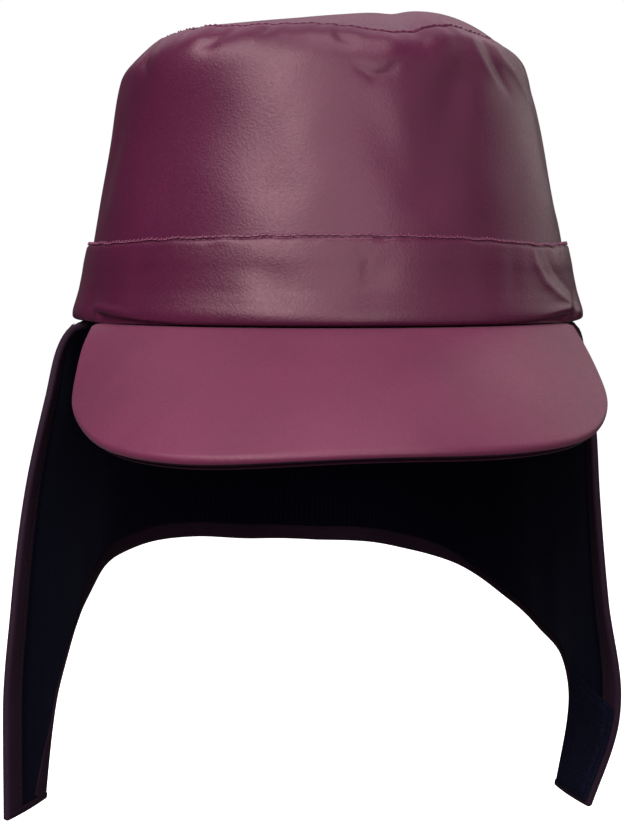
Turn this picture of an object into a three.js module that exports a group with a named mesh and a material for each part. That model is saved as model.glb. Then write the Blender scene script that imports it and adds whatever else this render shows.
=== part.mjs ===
// Peaked rain cap of coated cloth, with a one-piece neck and ear flap that ends in two chin straps.
// Millimetres, +Z up. The origin is the middle of the head opening, level with the band's lower edge.
// The peak points along -Y. Angles go round the head from the middle of the front towards +X.
import * as THREE from "three";

// Driving sizes
const clothGap = 0.3;
const crownThickness = 1.5;
const seamRise = 92;
const crownTopRise = 105;
const crownTopShift = 22;
const footLengthExtra = 15.3;
const seamLengthExtra = 12.5;
const peakThickness = 3.2;
const peakUndersideThickness = 1.0;
const peakEndAngle = { left: -57, right: 55.5 };
const peakSwell = 2.6;
const peakTuck = 4;
const flapClothThickness = 1.0;
const flapLiningThickness = 0.8;
const flapHemThickness = 2.2;
const flapLiningGap = 0.4;
const flapHemWidth = 5.6;
const flapTuckRise = 9.5;
const flapHalfGirth = 188;
const tapeThickness = 1.5;
const tapeGap = 0.5;
const columnsRound = 56;

// Half width of the crown's outer face at each rise, on the middle course of the seam
const crownRows = [
  { rise: 0, halfWidth: 85.8 },
  { rise: 27, halfWidth: 80.9 },
  { rise: 40, halfWidth: 78.8 },
  { rise: 57, halfWidth: 75.7 },
  { rise: 74, halfWidth: 72.8 },
  { rise: 82, halfWidth: 71.0 },
  { rise: 87, halfWidth: 68.4 },
  { rise: 90, halfWidth: 65.2 },
  { rise: 92, halfWidth: 61.5 },
];

// The top seam round the head: its rise, how far out it sits, and how steeply the top panel puffs up behind it
const seamRows = [
  { angle: -180, rise: 95.0, reach: 1.0, puff: 2.2 },
  { angle: -135, rise: 96.5, reach: 0.97, puff: 2.2 },
  { angle: -90, rise: 97.0, reach: 0.94, puff: 1.6 },
  { angle: -60, rise: 94.0, reach: 0.97, puff: 1.5 },
  { angle: -35, rise: 91.5, reach: 1.0, puff: 1.5 },
  { angle: -12, rise: 90.6, reach: 1.0, puff: 1.6 },
  { angle: 4, rise: 89.5, reach: 1.0, puff: 1.8 },
  { angle: 17, rise: 87.4, reach: 1.0, puff: 1.8 },
  { angle: 33, rise: 92.8, reach: 1.0, puff: 2.2 },
  { angle: 50, rise: 91.2, reach: 1.02, puff: 2.8 },
  { angle: 70, rise: 90.0, reach: 1.03, puff: 2.8 },
  { angle: 95, rise: 89.5, reach: 1.03, puff: 2.8 },
  { angle: 135, rise: 92.0, reach: 1.02, puff: 2.4 },
  { angle: 180, rise: 95.0, reach: 1.0, puff: 2.2 },
];

// Dents in the crown: where each lies, its half length and half width, its lean from upright, and its depth
const crownDents = [
  { angle: 9, rise: 75, long: 8, wide: 4.5, lean: 78, depth: 2.4 },
  { angle: 9, rise: 57, long: 17, wide: 5, lean: 24, depth: 1.3 },
  { angle: 50, rise: 84, long: 16, wide: 4.5, lean: 42, depth: 2.8 },
  { angle: 29, rise: 70, long: 20, wide: 7, lean: -20, depth: 1.2 },
  { angle: -31, rise: 87, long: 6, wide: 4, lean: 10, depth: 1.6 },
  { angle: -40, rise: 62, long: 26, wide: 14, lean: -12, depth: 1.4 },
  { angle: 108, rise: 62, long: 24, wide: 8, lean: 12, depth: 1.6 },
  { angle: -108, rise: 70, long: 20, wide: 8, lean: -18, depth: 1.4 },
  { angle: 146, rise: 68, long: 22, wide: 9, lean: 15, depth: 1.8 },
  { angle: -142, rise: 64, long: 24, wide: 10, lean: -14, depth: 1.8 },
  { angle: 176, rise: 78, long: 14, wide: 9, lean: 70, depth: 1.8 },
];

// The folded band's section: how high each corner is and how far it stands off the crown
const bandSection = [
  { rise: 0.4, standOff: 1.5 },
  { rise: 1.4, standOff: 2.2 },
  { rise: 3.6, standOff: 2.45 },
  { rise: 10, standOff: 2.2 },
  { rise: 19, standOff: 1.9 },
  { rise: 24.8, standOff: 1.75 },
  { rise: 26.2, standOff: 1.35 },
  { rise: 26.5, standOff: 0.75 },
  { rise: 26.1, standOff: clothGap },
  { rise: 13, standOff: clothGap },
  { rise: 0.5, standOff: clothGap },
  { rise: 0, standOff: 0.8 },
];

// Soft tucks (depth above 0) and ridges (below 0) in the band
const bandFolds = [
  { angle: -66, rise: 4, long: 6, wide: 4, lean: 20, depth: 0.7 },
  { angle: 54, rise: 18, long: 10, wide: 3.5, lean: -28, depth: -0.8 },
  { angle: 66, rise: 6, long: 8, wide: 3.5, lean: -55, depth: -0.8 },
  { angle: 61, rise: 3, long: 5, wide: 3, lean: -40, depth: 0.5 },
];

// The peak's rim from the viewer's left end to the right end: across, ahead of the origin, and drop below it
const peakRimRows = [
  { across: -75.6, ahead: 57.6, drop: 1.4 },
  { across: -77.8, ahead: 69, drop: 8 },
  { across: -78.6, ahead: 85, drop: 21.4 },
  { across: -75, ahead: 102, drop: 26.4 },
  { across: -64, ahead: 126, drop: 31.4 },
  { across: -43, ahead: 146.5, drop: 32.1 },
  { across: -15, ahead: 156, drop: 29.9 },
  { across: 15, ahead: 156, drop: 28.9 },
  { across: 43, ahead: 144.5, drop: 29.9 },
  { across: 64.5, ahead: 124, drop: 29.4 },
  { across: 76, ahead: 101, drop: 25.4 },
  { across: 79.6, ahead: 84, drop: 19.9 },
  { across: 78, ahead: 69, drop: 9.4 },
  { across: 74.8, ahead: 59.4, drop: 1.4 },
];

// How the flap hangs on each side, by its drop below the band: the half width of its oval, the angle at
// which its front edge lies, and how far that edge wings outwards
const hangRows = {
  left: [
    { drop: 0, halfWidth: 83.8, frontAngle: 74, wing: 0 },
    { drop: 4, halfWidth: 84.8, frontAngle: 74, wing: 4.5 },
    { drop: 12, halfWidth: 86, frontAngle: 73.3, wing: 8 },
    { drop: 30, halfWidth: 87.5, frontAngle: 71.3, wing: 12 },
    { drop: 57, halfWidth: 89, frontAngle: 70, wing: 16.5 },
    { drop: 90, halfWidth: 90, frontAngle: 67.4, wing: 20.2 },
    { drop: 124, halfWidth: 90, frontAngle: 65.1, wing: 23.5 },
    { drop: 160, halfWidth: 90, frontAngle: 63, wing: 24 },
  ],
  right: [
    { drop: 0, halfWidth: 83.8, frontAngle: 74, wing: 0 },
    { drop: 4, halfWidth: 84.5, frontAngle: 74, wing: 2.8 },
    { drop: 12, halfWidth: 85, frontAngle: 73.3, wing: 3.8 },
    { drop: 38, halfWidth: 86, frontAngle: 71, wing: 7 },
    { drop: 57, halfWidth: 86, frontAngle: 69.8, wing: 8 },
    { drop: 92, halfWidth: 85.5, frontAngle: 67.3, wing: 11.6 },
    { drop: 123, halfWidth: 84, frontAngle: 65.1, wing: 17.3 },
    { drop: 129, halfWidth: 83.4, frontAngle: 65, wing: 17.4 },
    { drop: 160, halfWidth: 75.3, frontAngle: 65, wing: 14.4 },
  ],
};
const wingReach = { left: 0.24, right: 0.19 };

// Half length of the flap's oval behind the head, by its drop
const backRows = [
  { drop: 0, halfLength: 99.1 },
  { drop: 12, halfLength: 101 },
  { drop: 30, halfLength: 103 },
  { drop: 57, halfLength: 105 },
  { drop: 98, halfLength: 107 },
  { drop: 160, halfLength: 108 },
];

// The flap's lower edge on each side, from the strap's front corner round to the middle of the back: the
// share of the way round, the drop, and the share of the seam under the band that hangs above it.
// The first rows are the strap's square end, and strapCornerRow is its back corner.
const strapCornerRow = 4;
const edgeRows = {
  left: [
    { around: 0, drop: 157, seam: 0 },
    { around: 0.03, drop: 157, seam: 0.03 },
    { around: 0.032, drop: 157, seam: 0.032 },
    { around: 0.043, drop: 157, seam: 0.055 },
    { around: 0.09, drop: 157, seam: 0.09 },
    { around: 0.1, drop: 147, seam: 0.115 },
    { around: 0.112, drop: 137, seam: 0.145 },
    { around: 0.128, drop: 127.5, seam: 0.175 },
    { around: 0.158, drop: 118.5, seam: 0.215 },
    { around: 0.2, drop: 110.5, seam: 0.26 },
    { around: 0.265, drop: 104, seam: 0.315 },
    { around: 0.35, drop: 97.5, seam: 0.385 },
    { around: 0.455, drop: 93, seam: 0.475 },
    { around: 0.565, drop: 91, seam: 0.575 },
    { around: 0.69, drop: 92.2, seam: 0.69 },
    { around: 0.85, drop: 96, seam: 0.85 },
    { around: 1, drop: 97.7, seam: 1 },
  ],
  right: [
    { around: 0, drop: 157, seam: 0 },
    { around: 0.03, drop: 157, seam: 0.03 },
    { around: 0.032, drop: 157, seam: 0.032 },
    { around: 0.043, drop: 157, seam: 0.055 },
    { around: 0.092, drop: 157, seam: 0.09 },
    { around: 0.104, drop: 147, seam: 0.115 },
    { around: 0.116, drop: 137, seam: 0.145 },
    { around: 0.132, drop: 127.5, seam: 0.175 },
    { around: 0.165, drop: 121, seam: 0.215 },
    { around: 0.23, drop: 118, seam: 0.27 },
    { around: 0.34, drop: 115.5, seam: 0.36 },
    { around: 0.44, drop: 111.8, seam: 0.445 },
    { around: 0.545, drop: 106.8, seam: 0.55 },
    { around: 0.66, drop: 102, seam: 0.66 },
    { around: 0.75, drop: 99.6, seam: 0.75 },
    { around: 0.87, drop: 98, seam: 0.87 },
    { around: 1, drop: 97.7, seam: 1 },
  ],
};

// The tapes at the strap ends: the stretch of strap that they cover, from the end upwards and across it
const tapeRows = [
  { drop: 155.5, from: 0.01, to: 0.083 },
  { drop: 137, from: 0.01, to: 0.103 },
  { drop: 118.5, from: 0.01, to: 0.118 },
];

const plumCrown = { color: 0x5f2a44, roughness: 0.42, metalness: 0 };
const plumBand = { color: 0x5a2841, roughness: 0.42, metalness: 0 };
const berryPeak = { color: 0x7d3a55, roughness: 0.5, metalness: 0 };
const plumFlap = { color: 0x3d1c2f, roughness: 0.55, metalness: 0 };
const blackLining = { color: 0x0b0a10, roughness: 0.95, metalness: 0 };
const blackTape = { color: 0x10101a, roughness: 0.9, metalness: 0 };

// Value of one column of a table at any place between its rows, on a smooth curve that never overshoots
function columnAt(rows, key, column, at) {
  const last = rows.length - 1;
  const slope = (i) => (rows[i + 1][column] - rows[i][column]) / (rows[i + 1][key] - rows[i][key]);
  const tangent = (i) => {
    if (i === 0) return slope(0);
    if (i === last) return slope(last - 1);
    const before = slope(i - 1);
    const after = slope(i);
    return before * after <= 0 ? 0 : (2 * before * after) / (before + after);
  };
  const ascending = rows[last][key] > rows[0][key];
  let i = 0;
  while (i < last - 1 && (ascending ? at > rows[i + 1][key] : at < rows[i + 1][key])) {
    i += 1;
  }
  const span = rows[i + 1][key] - rows[i][key];
  const share = THREE.MathUtils.clamp((at - rows[i][key]) / span, 0, 1);
  const ease = share * share * (3 - 2 * share);
  return (
    rows[i][column] * (1 - ease) +
    rows[i + 1][column] * ease +
    tangent(i) * span * share * (1 - share) * (1 - share) -
    tangent(i + 1) * span * share * share * (1 - share)
  );
}

// Sum of the dents of a table at an angle in radians and a rise, measured on an oval of the given radius
function dentDepth(dents, angle, rise, radius) {
  const degrees = THREE.MathUtils.radToDeg(angle);
  let depth = 0;
  for (const dent of dents) {
    const turn = THREE.MathUtils.euclideanModulo(degrees - dent.angle + 180, 360) - 180;
    const side = THREE.MathUtils.degToRad(turn) * radius;
    const up = rise - dent.rise;
    const lean = THREE.MathUtils.degToRad(dent.lean);
    const along = up * Math.cos(lean) - side * Math.sin(lean);
    const across = side * Math.cos(lean) + up * Math.sin(lean);
    depth += dent.depth * Math.exp(-((along / dent.long) ** 2) - (across / dent.wide) ** 2);
  }
  return depth;
}

// Outward normal of a surface given by two parameters, the first going round and the second going up
function normalOf(surface, first, second, firstStep, secondStep) {
  const round = surface(first + firstStep, second).sub(surface(first - firstStep, second));
  const up = surface(first, second + secondStep).sub(surface(first, second - secondStep));
  return round.cross(up).normalize();
}

// A closed ring or dome: each section spot is put in place at each angle, outer face from the foot upwards
function ring(spots, columns, place) {
  const guide = spots.map((spot, i) => new THREE.Vector2(1, i));
  const shape = new THREE.LatheGeometry(guide, columns);
  const positions = shape.attributes.position;
  for (let column = 0; column <= columns; column += 1) {
    const angle = ((column % columns) / columns) * Math.PI * 2;
    spots.forEach((spot, i) => {
      const put = place(angle, spot);
      positions.setXYZ(column * spots.length + i, put.x, put.y, put.z);
    });
  }
  shape.computeVertexNormals();
  return shape;
}

// A closed sheet: a box of cells whose points are put in place by their column, row and side
function sheet(columns, rows, place) {
  const shape = new THREE.BoxGeometry(1, 1, 1, columns, rows, 1);
  const positions = shape.attributes.position;
  for (let i = 0; i < positions.count; i += 1) {
    const column = Math.round((positions.getX(i) + 0.5) * columns);
    const row = Math.round((positions.getY(i) + 0.5) * rows);
    const put = place(column, row, positions.getZ(i) > 0);
    positions.setXYZ(i, put.x, put.y, put.z);
  }
  shape.computeVertexNormals();
  return shape;
}

function piece(name, geometry, finish) {
  const mesh = new THREE.Mesh(geometry, new THREE.MeshStandardMaterial(finish));
  mesh.name = name;
  return mesh;
}

// Point on the crown's outer face: course 0 to 1 is the side panel, 1 to 2 the top panel up to its crest
function crownPoint(angle, course) {
  const wrapped = THREE.MathUtils.euclideanModulo(THREE.MathUtils.radToDeg(angle) + 180, 360) - 180;
  const seamAt = (column) => columnAt(seamRows, "angle", column, wrapped);
  const sideCourse = Math.min(course, 1);
  const middleRise = sideCourse * seamRise;
  const halfWidth = columnAt(crownRows, "rise", "halfWidth", middleRise);
  const extra = THREE.MathUtils.lerp(footLengthExtra, seamLengthExtra, sideCourse);
  const reach = 1 + (seamAt("reach") - 1) * THREE.MathUtils.smoothstep(sideCourse, 0.84, 1);
  const rise = middleRise + (seamAt("rise") - seamRise) * THREE.MathUtils.smoothstep(sideCourse, 0.36, 1);
  const dent = sideCourse > 0.32 ? dentDepth(crownDents, angle, rise, halfWidth) : 0;
  const spot = new THREE.Vector3(
    (halfWidth - dent) * reach * Math.sin(angle),
    -(halfWidth + extra - dent) * reach * Math.cos(angle),
    rise,
  );
  if (course > 1) {
    const share = course - 1;
    const climb = 1 - (1 - share) ** seamAt("puff");
    spot.x = THREE.MathUtils.lerp(spot.x, crownTopShift, share);
    spot.y *= 1 - share;
    spot.z += (crownTopRise - rise) * climb;
  }
  return spot;
}

// The same point moved inwards through the cloth; at the seam both panels share one direction
function crownSpot(angle, course, depth, seamSide) {
  const normal = normalOf(crownPoint, angle, course, 0.01, 0.01);
  const along = seamSide === 0 ? course : 1 + seamSide * (seamSide > 0 ? 0.003 : 0.0016);
  return crownPoint(angle, along).addScaledVector(normal, -depth);
}

function crownSide() {
  const rises = [0.5, 14, 27.5, 39, 51, 63, 74, 81.5, 86.5, 89.8, seamRise];
  const outer = rises.map((rise) => ({
    course: rise / seamRise,
    depth: 0,
    seamSide: rise === seamRise ? -1 : 0,
  }));
  const inner = outer.toReversed().map((spot) => ({ ...spot, depth: crownThickness }));
  const section = [...outer, ...inner, outer[0]];
  return ring(section, columnsRound, (angle, spot) => crownSpot(angle, spot.course, spot.depth, spot.seamSide));
}

function crownTop() {
  const shares = [0, 0.09, 0.24, 0.46, 0.72];
  const outer = shares.map((share) => ({ course: 1 + share, depth: 0, seamSide: share === 0 ? 1 : 0 }));
  const inner = outer.toReversed().map((spot) => ({ ...spot, depth: crownThickness }));
  const crest = { course: 2, depth: 0, seamSide: 0 };
  const section = [{ ...crest, depth: crownThickness }, ...inner, ...outer, crest];
  return ring(section, columnsRound, (angle, spot) => {
    if (spot.course === 2) {
      return new THREE.Vector3(crownTopShift, 0, crownTopRise - spot.depth);
    }
    return crownSpot(angle, spot.course, spot.depth, spot.seamSide);
  });
}

function hatband() {
  const section = [...bandSection, bandSection[0]];
  return ring(section, columnsRound, (angle, corner) => {
    const course = corner.rise / seamRise;
    const fold = corner.standOff > 1 ? dentDepth(bandFolds, angle, corner.rise, 94) : 0;
    return crownSpot(angle, course, fold - corner.standOff, 0);
  });
}

// Point on an oval of the head's shape
function ovalPoint(angle, halfWidth, rise) {
  return new THREE.Vector3(
    halfWidth * Math.sin(angle),
    -(halfWidth + footLengthExtra) * Math.cos(angle),
    rise,
  );
}

const peakRim = new THREE.CatmullRomCurve3(
  peakRimRows.map((row) => new THREE.Vector3(row.across, -row.ahead, -row.drop)),
);
const peakInnerHalfWidth = crownRows[0].halfWidth - 1.2;
const peakJointShare = 0.07;

// Point on the peak's upper face: across 0 to 1 from left to right, out 0 to 1 from the band to the rim
function peakPoint(across, out) {
  const degrees = THREE.MathUtils.lerp(peakEndAngle.left, peakEndAngle.right, across);
  const angle = THREE.MathUtils.degToRad(degrees);
  const joint = ovalPoint(angle, peakInnerHalfWidth + peakTuck, -0.7);
  if (out <= peakJointShare) {
    return ovalPoint(angle, peakInnerHalfWidth, -0.5).lerp(joint, out / peakJointShare);
  }
  const share = (out - peakJointShare) / (1 - peakJointShare);
  const spot = joint.lerp(peakRim.getPoint(THREE.MathUtils.clamp(across, 0, 1)), share);
  spot.z += peakSwell * 4 * share * (1 - share) * Math.sin(Math.PI * across);
  return spot;
}

function peakSpot(across, out, depth) {
  const step = 0.01;
  const inAcross = THREE.MathUtils.clamp(across, 0.03, 0.97);
  const inOut = THREE.MathUtils.clamp(out, 0.12, 0.95);
  const right = peakPoint(inAcross + step, inOut).sub(peakPoint(inAcross - step, inOut));
  const outwards = peakPoint(inAcross, inOut + step).sub(peakPoint(inAcross, inOut - step));
  const up = outwards.cross(right).normalize().negate();
  if (up.z < 0) up.negate();
  const lean = THREE.MathUtils.smoothstep(out, 0, 0.12);
  up.lerp(new THREE.Vector3(0, 0, 1), 1 - lean).normalize();
  return peakPoint(across, out).addScaledVector(up, -depth);
}

const peakColumns = 26;
const peakOuts = [0, peakJointShare, 0.2, 0.36, 0.52, 0.68, 0.83, 0.94, 0.985, 1];
// How far the rolled rim has turned in from each face, as a share of the thickness, on the last stops
const peakRoll = [0, 0, 0, 0, 0, 0, 0, 0, 0.12, 0.34];

function peak() {
  return sheet(peakColumns, peakOuts.length - 1, (column, row, under) => {
    const roll = peakRoll[row];
    const depth = peakThickness * (under ? 1 - roll : roll);
    return peakSpot(column / peakColumns, peakOuts[row], depth);
  });
}

function peakUnderside() {
  const outs = [0.1, 0.32, 0.54, 0.76, 0.96];
  const inset = 0.02;
  return sheet(peakColumns, outs.length - 1, (column, row, under) => {
    const across = THREE.MathUtils.lerp(inset, 1 - inset, column / peakColumns);
    const depth = peakThickness + clothGap + (under ? peakUndersideThickness : 0);
    return peakSpot(across, outs[row], depth);
  });
}

// Point on the flap's outer face: share of the way round from the front edge to the back, and drop
function flapPoint(side, around, drop) {
  const hang = hangRows[side];
  const at = (column) => columnAt(hang, "drop", column, Math.max(drop, 0));
  const tuckIn = Math.min(drop, 0) * 0.181;
  const frontAngle = at("frontAngle");
  const angle = THREE.MathUtils.degToRad(frontAngle + (180 - frontAngle) * around);
  const wingShare = Math.max(0, 1 - around / wingReach[side]);
  const halfWidth = at("halfWidth") + tuckIn;
  const halfLength = columnAt(backRows, "drop", "halfLength", Math.max(drop, 0)) + tuckIn;
  const out = halfWidth * Math.sin(angle) + at("wing") * wingShare ** 2;
  return new THREE.Vector3(side === "left" ? -out : out, -halfLength * Math.cos(angle), -drop);
}

function flapSpot(side, around, drop, depth) {
  const aroundStep = 0.004;
  const dropStep = 0.5;
  const inAround = THREE.MathUtils.clamp(around, aroundStep, 1 - aroundStep);
  const back = flapPoint(side, inAround + aroundStep, drop).sub(flapPoint(side, inAround - aroundStep, drop));
  const down = flapPoint(side, inAround, drop + dropStep).sub(flapPoint(side, inAround, drop - dropStep));
  const outwards = side === "left" ? back.cross(down) : down.cross(back);
  return flapPoint(side, around, drop).addScaledVector(outwards.normalize(), -depth);
}

// The lower edge as a path of millimetres round and up, smooth past the strap's corner
function edgePath(side) {
  const rows = edgeRows[side];
  const flat = (row) => new THREE.Vector3(row.around * flapHalfGirth, -row.drop, row.seam);
  const arch = new THREE.CatmullRomCurve3(rows.slice(strapCornerRow).map(flat), false, "centripetal");
  const steps = (rows.length - 1 - strapCornerRow) * 2;
  return [...rows.slice(0, strapCornerRow).map(flat), ...arch.getPoints(steps)];
}

// The path moved into the cloth by a width; its first and last points stay on the front edge and the back
function insetPath(path, width) {
  return path.map((point, i) => {
    if (i < strapCornerRow || i === path.length - 1) {
      return new THREE.Vector2(point.x, point.y + width);
    }
    const before = new THREE.Vector2(point.x - path[i - 1].x, point.y - path[i - 1].y).normalize();
    const after = new THREE.Vector2(path[i + 1].x - point.x, path[i + 1].y - point.y).normalize();
    const inwards = new THREE.Vector2(-before.y - after.y, before.x + after.x).normalize();
    const stretch = 1 / Math.max(0.5, inwards.dot(new THREE.Vector2(-before.y, before.x)));
    return new THREE.Vector2(point.x, point.y).addScaledVector(inwards, width * stretch);
  });
}

// Columns of the flap from the left front edge round to the right one: side, and place in the side's path
function flapColumns(first) {
  const count = edgePath("left").length;
  const left = Array.from({ length: count - first }, (unused, i) => ({ side: "left", index: first + i }));
  const right = left.toReversed().slice(1).map((column) => ({ side: "right", index: column.index }));
  return [...left, ...right];
}

// Place on one flap column: the first rows are at set drops, the rest are shared out down to the low point
const upperDrops = [0, 5, 16];
const lowerShares = [0.22, 0.44, 0.63, 0.79, 0.9, 1];

function columnPlace(top, low, topDrop, row) {
  const drops = [topDrop, ...upperDrops];
  const lastUpper = upperDrops[upperDrops.length - 1];
  const lowDrop = -low.y;
  const drop = row < drops.length
    ? drops[row]
    : THREE.MathUtils.lerp(lastUpper, lowDrop, lowerShares[row - drops.length]);
  const share = (drop + flapTuckRise) / (lowDrop + flapTuckRise);
  return { around: THREE.MathUtils.lerp(top, low.x / flapHalfGirth, share), drop };
}

const flapRowCount = 1 + upperDrops.length + lowerShares.length;

function neckFlap() {
  const stepWidth = 0.4;
  const paths = {};
  for (const side of ["left", "right"]) {
    const edge = edgePath(side);
    paths[side] = { edge, hem: insetPath(edge, flapHemWidth), foot: insetPath(edge, flapHemWidth + stepWidth) };
  }
  const columns = flapColumns(0);
  return sheet(columns.length - 1, flapRowCount + 1, (column, row, outer) => {
    const { side, index } = columns[column];
    const { edge, hem, foot } = paths[side];
    const inFrontHem = index <= 1;
    if (row >= flapRowCount) {
      const line = row === flapRowCount ? hem : edge;
      return flapSpot(side, line[index].x / flapHalfGirth, -line[index].y, outer ? 0 : flapHemThickness);
    }
    const place = columnPlace(edge[index].z, foot[index], -flapTuckRise, row);
    const hemmed = inFrontHem && row > 0;
    return flapSpot(side, place.around, place.drop, outer ? 0 : hemmed ? flapHemThickness : flapClothThickness);
  });
}

function flapLining() {
  const liningInset = 1.2;
  const liningTuckRise = flapTuckRise - 0.5;
  const frontInset = 0.006;
  const firstColumn = 2;
  const paths = {};
  for (const side of ["left", "right"]) {
    const edge = edgePath(side);
    paths[side] = { edge, end: insetPath(edge, flapHemWidth + liningInset) };
  }
  const columns = flapColumns(firstColumn);
  return sheet(columns.length - 1, flapRowCount - 1, (column, row, outer) => {
    const { side, index } = columns[column];
    const { edge, end } = paths[side];
    const place = columnPlace(edge[index].z, end[index], -liningTuckRise, row);
    const shift = index === firstColumn ? frontInset : 0;
    const depth = flapClothThickness + flapLiningGap + (outer ? 0 : flapLiningThickness);
    return flapSpot(side, place.around + shift, place.drop, depth);
  });
}

// A patch of tape on a strap end, between two depths measured inwards from the flap's outer face
function tapePatch(side, nearDepth, farDepth) {
  const columns = 5;
  const rows = 8;
  return sheet(columns, rows, (column, row, outer) => {
    const drop = THREE.MathUtils.lerp(tapeRows[2].drop, tapeRows[0].drop, row / rows);
    const from = columnAt(tapeRows, "drop", "from", drop);
    const to = columnAt(tapeRows, "drop", "to", drop);
    const share = side === "left" ? column / columns : 1 - column / columns;
    return flapSpot(side, THREE.MathUtils.lerp(from, to, share), drop, outer ? nearDepth : farDepth);
  });
}

const hookTapeDepth = flapHemThickness + tapeGap;

const group = new THREE.Group();
group.add(
  piece("crown_side", crownSide(), plumCrown),
  piece("crown_top", crownTop(), plumCrown),
  piece("hatband", hatband(), plumBand),
  piece("peak", peak(), berryPeak),
  piece("peak_underside", peakUnderside(), plumFlap),
  piece("neck_flap", neckFlap(), plumFlap),
  piece("flap_lining", flapLining(), blackLining),
  piece("hook_tape", tapePatch("right", hookTapeDepth, hookTapeDepth + tapeThickness), blackTape),
  piece("loop_tape", tapePatch("left", -tapeGap - tapeThickness, -tapeGap), blackTape),
);

export default group;
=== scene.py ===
"""Peaked rain cap of coated cloth with a neck and ear flap: its cloth, stitching, tapes, light and camera."""
import math

import bpy
import numpy as np
from bpy.props import FloatProperty, FloatVectorProperty, PointerProperty
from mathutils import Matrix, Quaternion, Vector


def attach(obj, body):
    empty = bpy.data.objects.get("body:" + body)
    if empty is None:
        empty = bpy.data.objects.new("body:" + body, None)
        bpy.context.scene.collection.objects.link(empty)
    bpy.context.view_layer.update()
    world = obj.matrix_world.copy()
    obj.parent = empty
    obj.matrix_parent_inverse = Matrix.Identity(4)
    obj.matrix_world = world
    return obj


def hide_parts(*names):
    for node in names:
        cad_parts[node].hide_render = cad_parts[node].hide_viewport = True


bl_info = {
    "name": "Rain cap",
    "version": (1, 0, 0),
    "blender": (4, 5, 0),
    "location": "3D View > Sidebar > Rain cap",
    "description": "Makes the cloth, stitching and tapes of a peaked rain cap around its frame",
    "category": "Object",
}

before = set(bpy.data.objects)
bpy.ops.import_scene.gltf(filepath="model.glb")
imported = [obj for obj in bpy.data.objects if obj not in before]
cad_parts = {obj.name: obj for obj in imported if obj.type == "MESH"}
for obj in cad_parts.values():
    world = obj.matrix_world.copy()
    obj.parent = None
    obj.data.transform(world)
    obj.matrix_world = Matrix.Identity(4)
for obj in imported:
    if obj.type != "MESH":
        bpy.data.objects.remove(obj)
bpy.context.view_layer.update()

# Lengths in the tables are millimetres, as in the frame's own source; angles go round the head from the front
MM = 0.001
WELD_GAP = 0.000004
SEAM_RISE = 92
CROWN_TOP_RISE = 105
CROWN_TOP_SHIFT = 22
FOOT_LENGTH_EXTRA = 15.3
SEAM_LENGTH_EXTRA = 12.5
CROWN_THICKNESS = 1.5
CROWN_FOLD_RADIUS = 78.0
CROWN_COLUMNS = 384
BAND_FOLD_RADIUS = 94.0
BAND_TUCK_DEPTH = 1.6
PEAK_THICKNESS = 3.2
PEAK_END_ANGLES = (-57, 55.5)
PEAK_SWELL = 2.6
PEAK_TUCK = 4
PEAK_JOINT_SHARE = 0.07
PEAK_RUN = (190, 140)
PEAK_RIM_ROW = 45.2
FLAP_CLOTH = 1.0
FLAP_HEM = 2.2
FLAP_TUCK_RISE = 9.5
FLAP_HALF_GIRTH = 188
STRAP_DROP = 157
HEM_STITCH_INSET = 4.4
LINING_INSET = 5.3
TAPE_GAP = 0.5
TAPE_THICKNESS = 1.5
TAPE_RUN = (20, 37)
PHOTO_HEIGHT = 832
SHADER = "Principled BSDF"
BLUE_GREY = (0.6, 0.66, 1, 1)
CLOTH_BACK_COLOUR = (0.03, 0.012, 0.02)

# Crown: rise, half width of its outer face
CROWN_ROWS = (
    (0, 85.8), (27, 80.9), (40, 78.8), (57, 75.7), (74, 72.8), (82, 71.0), (87, 68.4), (90, 65.2), (92, 61.5),
)

# Top seam: angle, rise, reach, how steeply the top panel puffs up behind it
SEAM_ROWS = (
    (-180, 95.0, 1.0, 2.2), (-135, 96.5, 0.97, 2.2), (-90, 97.0, 0.94, 1.6), (-60, 94.0, 0.97, 1.5),
    (-35, 91.5, 1.0, 1.5), (-12, 90.6, 1.0, 1.6), (4, 89.5, 1.0, 1.8), (17, 87.4, 1.0, 1.8), (33, 92.8, 1.0, 2.2),
    (50, 91.2, 1.02, 2.8), (70, 90.0, 1.03, 2.8), (95, 89.5, 1.03, 2.8), (135, 92.0, 1.02, 2.4), (180, 95.0, 1.0, 2.2),
)

# Soft dents: angle, rise, half length, half width, lean from upright, depth
CROWN_DENTS = (
    (15, 83, 9, 6.5, -42, -1.2), (9, 57, 17, 6, 24, 0.45), (29, 70, 20, 7, -20, 1.2), (-38.5, 87.5, 6, 4.5, 0, -0.4),
    (-40, 62, 26, 14, -12, 1.2), (108, 62, 24, 8, 12, 1.6), (-108, 70, 20, 8, -18, 1.4), (146, 68, 22, 9, 15, 1.8),
    (-142, 64, 24, 10, -14, 1.8), (176, 78, 14, 9, 70, 1.8), (-14, 44, 20, 9, 8, 0.7), (20, 40, 22, 8, -6, 0.7),
    (72, 55, 24, 7, 16, 1.0), (-70, 48, 22, 8, -10, 0.9), (-80, 91, 7, 26, 0, 1.7), (80, 82, 10, 20, 0, 1.3),
    (-42, 80, 15, 15, 0, -1.2),
)

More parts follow.
